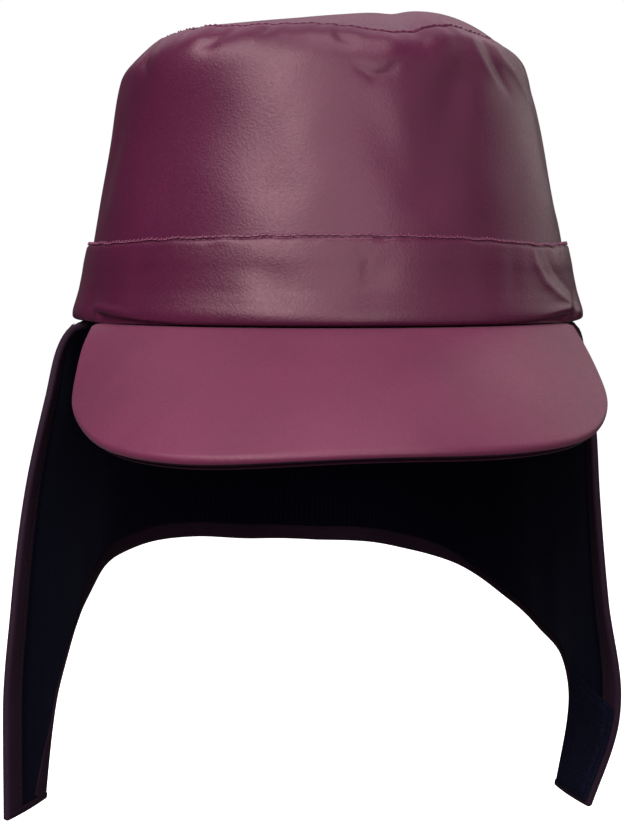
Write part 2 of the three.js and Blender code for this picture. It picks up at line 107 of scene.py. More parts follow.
# Creases: depth, half width, and the angle and rise of each point along them
CROWN_CREASES = (
    (0.8, 1.8, ((3, 77.5), (5, 75), (8.2, 72.8), (11.6, 74), (14.5, 78))),
    (-0.6, 2.2, ((40.5, 90.5), (38.2, 87), (38, 84), (39, 80.8), (41, 77.5), (44, 73))),
    (-0.85, 2.3, ((47.5, 89), (47.2, 85.5), (48, 82.6), (51, 80.6), (54, 78.6), (59, 73.5), (64, 67))),
    (1.0, 2.6, ((43.4, 88.5), (43.4, 82), (46, 77), (50, 71))),
    (0.7, 3.0, ((53.5, 88), (57, 82), (63, 75), (69, 68))),
    (0.65, 2.2, ((-29, 90.5), (-30.5, 87.6), (-33, 85.2), (-37.5, 84.2))),
    (0.7, 1.6, ((-20.6, 90.5), (-19.6, 88.2), (-18.8, 86.4))),
    (0.8, 2.2, ((-2, 87.5), (2, 84.5), (5, 83))),
    (1.2, 2.6, ((-62, 90), (-60, 84), (-55, 78))),
    (1.3, 2.4, ((84, 86), (80, 79), (78, 70))),
    (1.3, 2.6, ((-96, 92), (-92, 84), (-94, 76))),
    (1.4, 2.4, ((124, 88), (128, 80), (126, 70))),
    (1.3, 2.4, ((-128, 92), (-122, 84), (-124, 74))),
    (1.3, 2.4, ((160, 92), (164, 84), (160, 75))),
    (1.2, 2.4, ((-163, 92), (-166, 84), (-160, 77))),
)

# Folded band: rise and stand-off of each corner of its section, from the foot up its outer face and back
BAND_SECTION = (
    (-0.3, 0.8), (-0.35, 1.4), (-0.1, 2.05), (0.7, 2.6), (2.4, 2.8), (6, 2.45), (10, 2.1), (15, 2.05), (19, 2.15),
    (23.6, 2.0), (24.6, 1.75),
    (25.0, 1.4), (25.3, 1.38), (25.6, 1.5), (25.95, 1.45), (26.2, 1.1), (26.25, 0.7), (25.9, 0.35), (13, 0.3),
    (0.9, 0.3), (0.0, 0.42), (-0.3, 0.8),
)
BAND_SEAM_RISE = 25.15
# How far the band's stitched edge sags, round from the back
BAND_DIP_ROWS = (
    (-180, 0), (-100, 0.2), (-70, 1.0), (-57, 1.3), (-44, 0.8), (-28, 0.4), (0, 0), (17, 0.3), (36, 1.1), (46, 1.8),
    (53, 2.1), (60, 1.4), (69, 0.8), (85, 0.2), (180, 0),
)
BAND_DENTS = (
    (-62, 4.6, 6, 4, 20, 0.8), (62, 2.5, 5, 2.6, -50, 0.9), (-14, 13, 12, 5, 70, 0.5), (-17, 13, 9, 8, 0, -0.4),
    (6, 12, 9, 4, -40, 0.45), (24, 12, 11, 6, 10, 0.35), (-44, 14, 12, 7, -10, 0.3), (110, 12, 14, 7, 20, 0.5),
    (-110, 12, 14, 7, -20, 0.5), (150, 14, 12, 7, -20, 0.5), (-150, 10, 12, 7, 30, 0.5), (38, 15, 8, 4, -20, 0.3),
)
BAND_CREASES = (
    (-0.8, 2.9, ((45.3, 26), (46, 17.5), (48.8, 11.8), (53, 8.5), (58, 5.8), (64, 2.5), (70, 0.3))),
    (0.3, 2.8, ((51, 24), (52, 18), (56, 13), (61.5, 9), (66, 5.5))),
    (0.35, 2.4, ((2.5, 22), (5, 18.5), (4, 12))),
)
# Fold lines at the band's foot, left and right of the peak: angle and rise of each point
BAND_TUCKS = (
    (-1, ((30, -0.5), (42, 0.5), (48.8, 1.3), (53, 2.0), (57, 2.5))),
    (1, ((31, -0.5), (42, 0.3), (47.5, 0.9), (52, 1.6), (56, 1.9))),
)

# Peak's rim from the left end to the right end: share of the way, across, ahead of the origin, drop
PEAK_RIM_ROWS = (
    (0, -75.6, 57.6, 1.4), (1, -77.8, 69, 8), (2, -78.6, 85, 21.4), (3, -75, 102, 26.4), (4, -64, 126, 31.4),
    (5, -43, 146.5, 32.1), (6, -15, 156, 29.9), (7, 15, 156, 28.9), (8, 43, 144.5, 29.9), (9, 64.5, 124, 29.4),
    (10, 76, 101, 25.4), (11, 79.6, 84, 19.9), (12, 78, 69, 9.4), (13, 74.8, 59.4, 1.4),
)

# Flap on each side: drop, half width of its oval, angle of its front edge, how far that edge wings outwards
LEFT_HANG_ROWS = (
    (0, 83.8, 74, 0), (4, 84.8, 74, 4.5), (12, 86, 73.3, 8), (30, 87.5, 71.3, 12), (57, 89, 70, 16.5),
    (90, 90, 67.4, 20.2), (124, 90, 65.1, 23.5), (160, 90, 63, 24),
)
RIGHT_HANG_ROWS = (
    (0, 83.8, 74, 0), (4, 84.5, 74, 2.8), (12, 85, 73.3, 3.8), (38, 86, 71, 7), (57, 86, 69.8, 8),
    (92, 85.5, 67.3, 11.6), (123, 84, 65.1, 17.3), (129, 83.4, 65, 17.4), (160, 75.3, 65, 14.4),
)
WING_REACH = (0.24, 0.19)
BACK_ROWS = ((0, 99.1), (12, 101), (30, 103), (57, 105), (98, 107), (160, 108))

# Flap's lower edge from the strap's front corner to the middle of the back: place, share round, drop, share of
# the seam above it
LEFT_EDGE_ROWS = (
    (0, 0, 157, 0), (1, 0.03, 157, 0.03), (3, 0.09, 157, 0.09), (4, 0.1, 147, 0.115), (5, 0.112, 137, 0.145),
    (6, 0.128, 127.5, 0.175), (7, 0.158, 118.5, 0.215), (8, 0.2, 110.5, 0.26), (9, 0.265, 104, 0.315),
    (10, 0.35, 97.5, 0.385), (11, 0.455, 93, 0.475), (12, 0.565, 91, 0.575), (13, 0.69, 92.2, 0.69),
    (14, 0.85, 96, 0.85), (15, 1, 97.7, 1),
)
RIGHT_EDGE_ROWS = (
    (0, 0, 157, 0), (1, 0.03, 157, 0.03), (3, 0.092, 157, 0.09), (4, 0.104, 147, 0.115), (5, 0.116, 137, 0.145),
    (6, 0.132, 127.5, 0.175), (7, 0.165, 121, 0.215), (8, 0.23, 118, 0.27), (9, 0.34, 115.5, 0.36),
    (10, 0.44, 111.8, 0.445), (11, 0.545, 106.8, 0.55), (12, 0.66, 102, 0.66), (13, 0.75, 99.6, 0.75),
    (14, 0.87, 98, 0.87), (15, 1, 97.7, 1),
)
STRAP_CORNER = 3
END_POINTS = 15
ARCH_POINTS = 110
FRONT_POINTS = 120
FRONT_STITCH_POINTS = 400

# Turned hem's section: how far in from the cloth's edge, and depth below its outer face
HEM_SECTION = (
    (1.5, 0.12), (0.7, -0.02), (0.2, -0.03), (-0.25, 0.15), (-0.5, 0.6), (-0.58, 1.1), (-0.5, 1.6), (-0.25, 2.0),
    (0.2, 2.22), (0.8, 2.3), (2.2, 2.34), (3.4, 2.3), (4.1, 2.16), (4.6, 2.14), (5.1, 2.22), (5.45, 2.1),
    (5.6, 1.75), (5.55, 1.3), (5.2, 1.02), (3, 0.9), (1.5, 0.12),
)

# Tapes on the strap ends: drop, where they begin and end across the strap
TAPE_ROWS = ((118.5, 0.001, 0.118), (137, 0.001, 0.103), (156.2, 0.001, 0.083))
TAPE_SLANT = 7.5
LOOP_TAPE_INSET = 0.007


def column_at(rows, column, at):
    """Value of one column of a table between its rows, on a smooth curve that never overshoots."""
    key = np.array([row[0] for row in rows], float)
    value = np.array([row[column] for row in rows], float)
    span = np.diff(key)
    slope = np.diff(value) / span
    tangent = np.concatenate((slope[:1], np.zeros(len(slope) - 1), slope[-1:]))
    for i in range(1, len(slope)):
        if slope[i - 1] * slope[i] > 0:
            tangent[i] = 2 * slope[i - 1] * slope[i] / (slope[i - 1] + slope[i])
    at = np.clip(at, key[0], key[-1])
    i = np.clip(np.searchsorted(key, at, side="right") - 1, 0, len(span) - 1)
    share = (at - key[i]) / span[i]
    ease = share * share * (3 - 2 * share)
    return (
        value[i] * (1 - ease)
        + value[i + 1] * ease
        + tangent[i] * span[i] * share * (1 - share) ** 2
        - tangent[i + 1] * span[i] * share * share * (1 - share)
    )


def soft_column(rows, column, soften, around=False):
    """One column of a table as a smooth function, with its corners rounded over a distance."""
    start, end = rows[0][0], rows[-1][0]
    at = np.linspace(start, end, 1601)
    value = column_at(rows, column, at)
    reach = max(2, int(3 * soften / (at[1] - at[0])))
    if around:
        wide = np.concatenate((value[-reach - 1 : -1], value, value[1 : reach + 1]))
    else:
        before = 2 * value[0] - value[reach:0:-1]
        after = 2 * value[-1] - value[-2 : -reach - 2 : -1]
        wide = np.concatenate((before, value, after))
    kernel = np.exp(-((np.arange(-reach, reach + 1) * (at[1] - at[0]) / soften) ** 2) / 2)
    value = np.convolve(wide, kernel / kernel.sum(), mode="valid")
    return lambda place: np.interp(place, at, value)


def smooth_step(value, start, end):
    share = np.clip((value - start) / (end - start), 0, 1)
    return share * share * (3 - 2 * share)


def rows_at(at, places, rows):
    """Rows of a table read between their places."""
    return np.stack([np.interp(at, places, column) for column in np.transpose(rows)], axis=-1)


def unit(vectors):
    return vectors / np.maximum(np.linalg.norm(vectors, axis=-1, keepdims=True), 1e-12)


def wrapped(angle):
    return (np.asarray(angle, float) + 180) % 360 - 180


def edge_roll(distance, radius):
    """How far a face has turned in at a distance from a rounded edge."""
    left = np.clip(radius - distance, 0, radius * 0.98)
    return radius - np.sqrt(radius * radius - left * left)


def dent_depth(dents, angle, rise, radius):
    """Sum of soft dents at an angle in degrees and a rise, on an oval of a radius."""
    depth = np.zeros(np.broadcast(angle, rise).shape)
    for at, height, long, wide, lean, deep in dents:
        side = np.radians(wrapped(angle - at)) * radius
        up = rise - height
        lean = math.radians(lean)
        along = up * math.cos(lean) - side * math.sin(lean)
        across = side * math.cos(lean) + up * math.sin(lean)
        depth += deep * np.exp(-((along / long) ** 2) - (across / wide) ** 2)
    return depth


def crease_depth(creases, angle, rise, radius):
    """Sum of creases that follow a line of points, each fading out towards its ends."""
    depth = np.zeros(np.broadcast(angle, rise).shape)
    for deep, wide, points in creases:
        middle = points[len(points) // 2][0]
        side = np.radians(wrapped(angle - middle)) * radius
        line = [(math.radians(at - middle) * np.mean(radius), height) for at, height in points]
        lengths = [math.dist(line[i], line[i + 1]) for i in range(len(line) - 1)]
        total, before = sum(lengths), 0.0
        nearest = np.full(depth.shape, 1e9)
        place = np.zeros(depth.shape)
        for i, length in enumerate(lengths):
            (x, y), (x_next, y_next) = line[i], line[i + 1]
            share = ((side - x) * (x_next - x) + (rise - y) * (y_next - y)) / (length * length)
            share = np.clip(share, 0, 1)
            gap = np.hypot(side - x - share * (x_next - x), rise - y - share * (y_next - y))
            closer = gap < nearest
            nearest = np.where(closer, gap, nearest)
            place = np.where(closer, (before + share * length) / total, place)
            before += length
        fade = np.sin(np.pi * np.clip(place, 0.02, 0.98)) ** 0.7
        depth += deep * fade * (np.exp(-np.sqrt((nearest / wide) ** 2 + 0.09) * 1.5 + 0.45))
    return depth


crown_half_width = soft_column(CROWN_ROWS, 1, 0.9)
seam_rise_at = soft_column(SEAM_ROWS, 1, 3, around=True)
seam_reach_at = soft_column(SEAM_ROWS, 2, 5, around=True)
seam_puff_at = soft_column(SEAM_ROWS, 3, 5, around=True)


def crown_point(angle, course):
    """Outer face of the crown without its folds: course 0 to 1 is the side panel, 1 to 2 the top panel."""
    turn = wrapped(angle)
    side = np.minimum(course, 1)
    middle = side * SEAM_RISE
    half_width = crown_half_width(middle)
    extra = FOOT_LENGTH_EXTRA + (SEAM_LENGTH_EXTRA - FOOT_LENGTH_EXTRA) * side
    reach = 1 + (seam_reach_at(turn) - 1) * smooth_step(side, 0.84, 1)
    rise = middle + (seam_rise_at(turn) - SEAM_RISE) * smooth_step(side, 0.36, 1)
    share = np.clip(course - 1, 0, 1)
    climb = 1 - (1 - share) ** seam_puff_at(turn)
    x = half_width * reach * np.sin(np.radians(turn))
    y = -(half_width + extra) * reach * np.cos(np.radians(turn))
    return np.stack(
        (x + (CROWN_TOP_SHIFT - x) * share, y * (1 - share), rise + (CROWN_TOP_RISE - rise) * climb), axis=-1
    )


def crown_normal(angle, course):
    round_way = crown_point(angle + 0.5, course) - crown_point(angle - 0.5, course)
    up_way = crown_point(angle, course + 0.01) - crown_point(angle, course - 0.01)
    return unit(np.cross(round_way, up_way))


def crown_folds(angle, course):
    """How far the crown's cloth is pushed in by its folds, puckers and the pull of the top seam."""
    cap = sizes()
    turn = wrapped(angle)
    rise = crown_point(angle, np.minimum(course, 1))[..., 2]
    depth = dent_depth(CROWN_DENTS, turn, rise, CROWN_FOLD_RADIUS)
    depth += crease_depth(CROWN_CREASES, turn, rise, CROWN_FOLD_RADIUS)
    depth *= smooth_step(course, 0.3, 0.44) * cap.fold_strength
    turns = np.radians(turn)
    seam_gap = np.abs(course - 1) * np.where(course < 1, SEAM_RISE * 1.25, 62)
    pucker = np.sin(turns * 47 + 2.1 * np.sin(turns * 5)) + 0.7 * np.sin(turns * 71 + 1.3 * np.sin(turns * 7 + 1))
    pucker += 0.8 * np.sin(turns * 23 + 1.7)
    depth += cap.seam_pucker / MM * 0.5 * pucker * np.exp(-seam_gap / 4.5)
    waves = np.sin(turns * 9 + rise * 0.05) * np.sin(rise * 0.09 + turns * 3 + 0.6)
    waves += 0.6 * np.sin(turns * 17 - rise * 0.11 + 1.1) * np.sin(rise * 0.14 - turns * 4)
    depth += 0.16 * cap.fold_strength * waves * smooth_step(course, 0.28, 0.5)
    share = np.clip(course - 1, 0, 1)
    return depth * np.exp(-share * 5)


def crown_spot(angle, course, depth):
    return crown_point(angle, course) - crown_normal(angle, course) * depth[..., None]


def deselect():
    if bpy.context.mode != "OBJECT":
        bpy.ops.object.mode_set(mode="OBJECT")
    bpy.ops.object.select_all(action="DESELECT")


def pick(piece):
    deselect()
    piece.select_set(True)
    bpy.context.view_layer.objects.active = piece


def edit(piece, step, start="SELECT", **values):
    """Runs one step in edit mode, with all or none of a piece selected."""
    pick(piece)
    bpy.ops.object.mode_set(mode="EDIT")
    bpy.ops.mesh.select_all(action=start)
    step(**values)
    bpy.ops.object.mode_set(mode="OBJECT")


def fill_open_ends():
    bpy.ops.mesh.select_non_manifold()
    bpy.ops.mesh.edge_face_add()


def read_run(mesh):
    """Place of each face corner on the flat cloth, which is the piece's UV map."""
    run = np.empty(len(mesh.loops) * 2)
    mesh.uv_layers.active.data.foreach_get("uv", run)
    return run.reshape(-1, 2)


def point_runs(mesh):
    """Place of each point on the flat cloth: two rows, across and along."""
    owner = np.empty(len(mesh.loops), int)
    mesh.loops.foreach_get("vertex_index", owner)
    runs = np.zeros((len(mesh.vertices), 2))
    runs[owner] = read_run(mesh)
    return runs.T


def lay_points(mesh, spots):
    mesh.vertices.foreach_set("co", (spots * MM).ravel())
    mesh.update()


def laid_cloth(name, columns, rows, place, materials):
    """A flat grid with a UV map, one unit each way, laid where place says; what meets is welded."""
    deselect()
    bpy.ops.mesh.primitive_grid_add(x_subdivisions=columns, y_subdivisions=rows, size=1, calc_uvs=True)
    piece = bpy.context.object
    piece.name = piece.data.name = name
    for material in materials:
        piece.data.materials.append(material)
    lay_points(piece.data, place(*point_runs(piece.data)))
    edit(piece, bpy.ops.mesh.remove_doubles, threshold=WELD_GAP)
    return piece


def finish_cloth(piece, width, length):
    """Gives the UV map the cloth's real size, so that a weave keeps its scale, and smooths the shading."""
    run = read_run(piece.data) * (width * MM, length * MM)
    piece.data.uv_layers.active.data.foreach_set("uv", run.ravel())
    pick(piece)
    bpy.ops.object.shade_smooth_by_angle(angle=math.radians(50))
    return piece


def cloth_wall(name, columns, rows, place, run, materials):
    """A sheet with an outer and an inner face, each point laid where place says."""
    piece = laid_cloth(name, columns, rows, lambda u, v: place(u, v, np.zeros(len(u), bool)), materials)
    outer_count = len(piece.data.vertices)
    wall = piece.modifiers.new("inner face", "SOLIDIFY")
    wall.thickness = 0.0001
    wall.offset = -1
    wall.material_offset = len(materials) - 1
    pick(piece)
    bpy.ops.object.modifier_apply(modifier=wall.name)
    inner = np.arange(len(piece.data.vertices)) >= outer_count
    lay_points(piece.data, place(*point_runs(piece.data), inner))
    return finish_cloth(piece, *run)


def cloth_tube(name, columns, rows, place, run, materials, closed_round):
    """A strip whose section closes on itself, laid the same way; its open ends are filled."""
    piece = laid_cloth(name, columns, rows, place, materials)
    if not closed_round:
        edit(piece, fill_open_ends, "DESELECT")
    return finish_cloth(piece, *run)


def add_object(name, data):
    made = bpy.data.objects.new(name, data)
    bpy.context.scene.collection.objects.link(made)
    return made


def join(name, pieces):
    pick(pieces[0])
    for piece in pieces[1:]:
        piece.select_set(True)
    bpy.ops.object.join()
    pieces[0].name = pieces[0].data.name = name
    return pieces[0]


def set_values(made, **values):
    """Sets a node's own settings and the values of its inputs, whose names have _ for a space."""
    for name, value in values.items():
        if hasattr(made, name):
            setattr(made, name, value)
        else:
            made.inputs[name.replace("_", " ")].default_value = value
    return made


def node(tree, kind, place, **values):
    made = tree.nodes.new(kind)
    made.location = place
    return set_values(made, **values)


def texture(tree, where, kind, place, **values):
    """A texture read at the cloth's own coordinates: its value."""
    made = node(tree, "ShaderNodeTex" + kind, place, **values)
    tree.links.new(where, made.inputs["Vector"])
    return made.outputs["Distance" if kind == "Voronoi" else "Fac"]


def coordinates(tree, kind="Object"):
    return node(tree, "ShaderNodeTexCoord", (-1400, 0)).outputs[kind]


def combine(tree, operation, place, first, second):
    made = node(tree, "ShaderNodeMath", place, operation=operation)
    tree.links.new(first, made.inputs[0])
    tree.links.new(second, made.inputs[1])
    return made.outputs["Value"]


def bump(tree, onto, place, height, strength, distance):
    """Raises the surface of a shader, or of another bump, by a height over a distance in metres."""
    made = node(tree, "ShaderNodeBump", place, Strength=strength, Distance=distance)
    tree.links.new(height, made.inputs["Height"])
    tree.links.new(made.outputs["Normal"], onto.inputs["Normal"])
    return made


def tints(colour, dark, light):
    return [[min(1, c * share) for c in colour] for share in (dark, light)]


def shades(tree, onto, place, factor, dark, light, start=0.3, end=0.7):
    """Feeds an input with a colour that goes from dark to light as the factor rises from start to end."""
    ramp = node(tree, "ShaderNodeValToRGB", place)
    for stop, position, colour in zip(ramp.color_ramp.elements, (start, end), (dark, light)):
        stop.position = position
        stop.color = (*colour, 1)
    tree.links.new(factor, ramp.inputs["Fac"])
    tree.links.new(ramp.outputs["Color"], onto)


def made_once(build):
    """Turns a function that fills a material's nodes into one that is called by the material's name and its
    values; it makes the material the first time, and finds it after that."""

    def find_or_make(name, *values, **named):
        material = bpy.data.materials.get(name)
        if material is None:
            material = bpy.data.materials.new(name)
            material.use_nodes = True
            tree = material.node_tree
            build(tree, tree.nodes[SHADER], *values, **named)
        return material

    return find_or_make


@made_once
def coated_cloth(tree, shader, colour, roughness, level=0.5, grain_share=1.0, sheen=0.0):
    """Coated cloth: pebbled grain, fine crinkles, a slow drift of colour and of gloss."""
    where = coordinates(tree)
    drift = texture(tree, where, "Noise", (-1100, 300), Scale=26.0, Detail=4.0, Roughness=0.6)
    flecks = texture(tree, where, "Noise", (-1100, 100), Scale=900.0, Detail=3.0, Roughness=0.7)
    pebble_scale = 1 / (sizes().grain * grain_share)
    pebbles = texture(
        tree, where, "Voronoi", (-1100, -100), feature="SMOOTH_F1", Scale=pebble_scale, Smoothness=0.6
    )
    crinkle = texture(tree, where, "Noise", (-1100, -350), Scale=950.0, Detail=5.0, Roughness=0.62, Distortion=0.8)
    mottle = node(tree, "ShaderNodeMix", (-450, 250), data_type="RGBA", blend_type="MULTIPLY", Factor=0.35)
    shades(tree, mottle.inputs["A"], (-800, 300), drift, *tints(colour, 0.86, 1.12))
    shades(tree, mottle.inputs["B"], (-800, 80), flecks, (0.72, 0.7, 0.72), (1, 1, 1), 0.35, 0.6)
    tree.links.new(mottle.outputs["Result"], shader.inputs["Base Color"])
    gloss = node(
        tree, "ShaderNodeMapRange", (-800, -100),
        From_Min=0.3, From_Max=0.7, To_Min=roughness - 0.05, To_Max=roughness + 0.07,
    )
    tree.links.new(crinkle, gloss.inputs["Value"])
    tree.links.new(gloss.outputs["Result"], shader.inputs["Roughness"])
    rough = bump(tree, shader, (-500, -350), crinkle, 0.25, 0.00013)
    bump(tree, rough, (-800, -350), pebbles, 0.5, 0.00008)
    set_values(shader, Roughness=roughness, Specular_IOR_Level=level, Specular_Tint=(1, 0.74, 0.8, 1))
    set_values(shader, Sheen_Weight=sheen, Sheen_Roughness=0.5)


@made_once
def knit_cloth(tree, shader, colour):
    """Thin knitted lining: fine ribs of loops and a little fuzz."""
    where = coordinates(tree, "UV")
    ribs = texture(tree, where, "Wave", (-1100, 200), wave_type="BANDS", bands_direction="X", Scale=250.0)
    loops = texture(
        tree, where, "Wave", (-1100, -100), wave_type="BANDS", bands_direction="Y", Scale=340.0, Distortion=1.5
    )
    fuzz = texture(tree, where, "Noise", (-1100, -400), Scale=1500.0, Detail=3.0)
    stitch = combine(tree, "MULTIPLY", (-850, 50), ribs, loops)
    shades(tree, shader.inputs["Base Color"], (-450, 200), stitch, *tints(colour, 0.55, 1.5), 0.1, 0.9)
    bump(tree, shader, (-450, -150), combine(tree, "ADD", (-650, -100), stitch, fuzz), 0.5, 0.00015)
    set_values(shader, Roughness=0.9, Specular_IOR_Level=0.06, Specular_Tint=BLUE_GREY)
    set_values(shader, Sheen_Weight=0.05, Sheen_Tint=(0.5, 0.56, 1, 1))


@made_once
def pile_cloth(tree, shader, colour, scale):
    """Tape with a pile: a dense field of hooks or loops on a woven ground."""
    where = coordinates(tree)
    pile = texture(tree, where, "Voronoi", (-950, 100), Scale=scale)
    fuzz = texture(tree, where, "Noise", (-950, -200), Scale=scale * 1.7, Detail=4.0)
    shades(tree, shader.inputs["Base Color"], (-650, 200), pile, *tints(colour, 1.7, 0.5), 0.1, 0.7)
    bump(tree, shader, (-400, -100), combine(tree, "SUBTRACT", (-650, -100), fuzz, pile), 0.7, 0.0003)
    set_values(shader, Roughness=0.85, Specular_IOR_Level=0.2, Specular_Tint=BLUE_GREY)


@made_once
def thread(tree, shader, colour):
    """Twisted sewing thread, a little shinier than the cloth."""
    twist = texture(tree, coordinates(tree), "Noise", (-750, 0), Scale=2500.0, Detail=2.0)
    shades(tree, shader.inputs["Base Color"], (-500, 100), twist, *tints(colour, 0.75, 1.25))
    bump(tree, shader, (-400, -150), twist, 0.5, 0.00008)
    set_values(shader, Roughness=0.6, Specular_IOR_Level=0.2)


@made_once
def cloth_back(tree, shader, colour):
    """Woven back of the coated cloth, seen inside the crown."""
    where = coordinates(tree)
    weave = texture(tree, where, "Voronoi", (-900, 100), distance="CHEBYCHEV", Scale=1500.0)
    cloud = texture(tree, where, "Noise", (-900, -150), Scale=60.0, Detail=4.0)
    shades(tree, shader.inputs["Base Color"], (-600, 0), cloud, *tints(colour, 0.8, 1.25))
    bump(tree, shader, (-400, -150), weave, 0.5, 0.0001)
    set_values(shader, Roughness=0.85, Specular_IOR_Level=0.3)


def settle(piece, slot, *nodes):
    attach(piece, "root")
    if nodes:
        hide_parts(*nodes)


def stitch_row(name, centres, along, outwards, length, thickness, material):
    """A row of stitches: one short thread, dipping at its ends, copied to each place."""
    deselect()
    bpy.ops.mesh.primitive_uv_sphere_add(segments=7, ring_count=6, radius=0.5)
    one = bpy.context.object
    bpy.ops.transform.rotate(value=math.pi / 2, orient_axis="Y", center_override=(0, 0, 0))
    bpy.ops.object.transform_apply(location=True, rotation=True, scale=True)
    shape = np.array([v.co[:] for v in one.data.vertices])
    faces = [list(face.vertices) for face in one.data.polygons]
    bpy.data.objects.remove(one)
    along, outwards = unit(along), unit(outwards)
    across = unit(np.cross(outwards, along))
    outwards = np.cross(along, across)
    bow = shape[:, 2] * thickness + (0.25 - shape[:, 0] ** 2) * thickness * 1.2
    spots = centres[:, None, :]
    for axis, reach in ((along, shape[:, 0] * length), (across, shape[:, 1] * thickness), (outwards, bow)):
        spots = spots + axis[:, None, :] * reach[None, :, None]
    starts = range(0, len(centres) * len(shape), len(shape))
    mesh = bpy.data.meshes.new(name)
    mesh.from_pydata(
        (spots.reshape(-1, 3) * MM).tolist(), [], [[i + start for i in face] for start in starts for face in faces]
    )
    mesh.materials.append(material)
    piece = add_object(name, mesh)
    edit(piece, bpy.ops.mesh.normals_make_consistent, inside=False)
    bpy.ops.object.shade_smooth()
    return piece


def run_along(points):
    """Length along a line of points, up to each of them."""
    return np.concatenate(([0], np.cumsum(np.linalg.norm(np.diff(points, axis=0), axis=1))))


def evenly(points, pitch):
    """Middles, directions and places on the line, 0 to 1, of stitches a pitch apart along a line of points."""
    run = run_along(points)
    count = max(2, round(run[-1] / pitch))
    at = (np.arange(count) + 0.5) * run[-1] / count
    share = np.interp(at, run, np.linspace(0, 1, len(points)))
    return rows_at(at, run, points), unit(rows_at(at + 0.4, run, points) - rows_at(at - 0.4, run, points)), share


class RainCapSizes(bpy.types.PropertyGroup):
    fold_strength: FloatProperty(
        name="Fold strength", description="How deep the crown's soft folds are", default=1.0, min=0, max=2
    )
    seam_pucker: FloatProperty(
        name="Seam pucker", description="How far the cloth ripples beside the top seam", default=0.00032, unit="LENGTH"
    )
    stitch_pitch: FloatProperty(
        name="Stitch pitch", description="Distance from stitch to stitch", default=0.0023, unit="LENGTH"
    )
    thread_thickness: FloatProperty(
        name="Thread thickness", description="Thickness of the sewing thread", default=0.00038, unit="LENGTH"
    )
    grain: FloatProperty(
        name="Grain", description="Size of the coated cloth's pebbled grain", default=0.0007, unit="LENGTH"
    )


class RainCapColours(bpy.types.PropertyGroup):
    crown: FloatVectorProperty(
        name="Crown", description="Coated cloth of the crown", subtype="COLOR", default=(0.078, 0.0098, 0.040)
    )
    band: FloatVectorProperty(
        name="Band", description="Coated cloth of the folded band", subtype="COLOR", default=(0.074, 0.0095, 0.037)
    )
    peak: FloatVectorProperty(
        name="Peak", description="Coated cloth on top of the peak", subtype="COLOR", default=(0.122, 0.0175, 0.057)
    )
    flap: FloatVectorProperty(
        name="Flap", description="Coated cloth of the flap and under the peak", subtype="COLOR",
        default=(0.030, 0.006, 0.018),
    )
    hem: FloatVectorProperty(
        name="Hems", description="Colour of the flap's turned hems", subtype="COLOR", default=(0.026, 0.0133, 0.027)
    )
    lining: FloatVectorProperty(
        name="Lining", description="Knitted lining of the flap", subtype="COLOR", default=(0.0040, 0.0040, 0.0125)
    )
    tape: FloatVectorProperty(
        name="Tape", description="Hook and loop tapes", subtype="COLOR", default=(0.0033, 0.0034, 0.0140)
    )


class RainCapStage(bpy.types.PropertyGroup):
    floor_drop: FloatProperty(
        name="Floor drop", description="How far the floor lies below the band", default=0.32, unit="LENGTH"
    )
    key_power: FloatProperty(
        name="Key light", description="Power of the light on the front left", default=20, unit="POWER"
    )
    front_power: FloatProperty(
        name="Front light", description="Power of the wide front light", default=18, unit="POWER"
    )
    side_power: FloatProperty(
        name="Side light", description="Power of the light on the right", default=3.4, unit="POWER"
    )
    fill_power: FloatProperty(
        name="Fill light", description="Power of the light on the front right", default=3.5, unit="POWER"
    )
    back_power: FloatProperty(
        name="Back light", description="Power of the light behind the cap", default=4, unit="POWER"
    )
    top_power: FloatProperty(name="Top light", description="Power of the light overhead", default=8, unit="POWER")


def colours():
    return bpy.context.scene.rain_cap_colours


def sizes():
    return bpy.context.scene.rain_cap_sizes


def crown_cloth():
    return coated_cloth("plum coated cloth", colours().crown, 0.34)


def flap_cloth():
    return coated_cloth("dark plum coated cloth", colours().flap, 0.45, level=0.3)


def hem_cloth():
    return coated_cloth("hem cloth", colours().hem, 0.6, level=0.08)


def panel_depth(inner, edge_gap):
    """Depth of a crown panel's outer or inner face, rolled in near the panel's edge."""
    roll = edge_roll(edge_gap, 1.1)
    return np.where(inner, np.maximum(CROWN_THICKNESS, roll + 0.3), roll)


class RAINCAP_OT_crown(bpy.types.Operator):
    """Makes the crown's side panel and top panel, which meet in the top seam"""

    bl_idname = "raincap.crown"
    bl_label = "Crown panels"

    def execute(self, context):
        back = cloth_back("plum cloth back", CLOTH_BACK_COLOUR)

        def side_place(u, v, inner):
            angle = 360 * u - 180
            rise = np.interp(v, (0, 0.9, 1), (0.5, 88.6, SEAM_RISE - 0.1))
            course = rise / SEAM_RISE
            depth = panel_depth(inner, (SEAM_RISE - rise) * 1.3)
            return crown_spot(angle, course, depth + crown_folds(angle, course))

        side = cloth_wall("crown_side_cloth", CROWN_COLUMNS, 92, side_place, (565, 105), [crown_cloth(), back])
        settle(side, "plum_cloth", "crown_side")

        def top_place(u, v, inner):
            angle = 360 * u - 180
            share = np.interp(v, (0, 0.16, 1), (0.0013, 0.05, 1))
            depth = panel_depth(inner, share * 60)
            spots = crown_spot(angle, 1 + share * 0.985, depth + crown_folds(angle, 1 + share))
            crest = np.array((CROWN_TOP_SHIFT, 0, CROWN_TOP_RISE))
            crest = crest - np.array((0, 0, 1)) * np.where(inner, CROWN_THICKNESS, 0)[..., None]
            blend = smooth_step(share, 0.7, 1)[..., None]
            return spots * (1 - blend) + crest * blend

        top = cloth_wall("crown_top_cloth", CROWN_COLUMNS, 60, top_place, (420, 70), [crown_cloth(), back])
        settle(top, "plum_cloth", "crown_top")
        return {"FINISHED"}


band_dip_at = soft_column(BAND_DIP_ROWS, 1, 4, around=True)


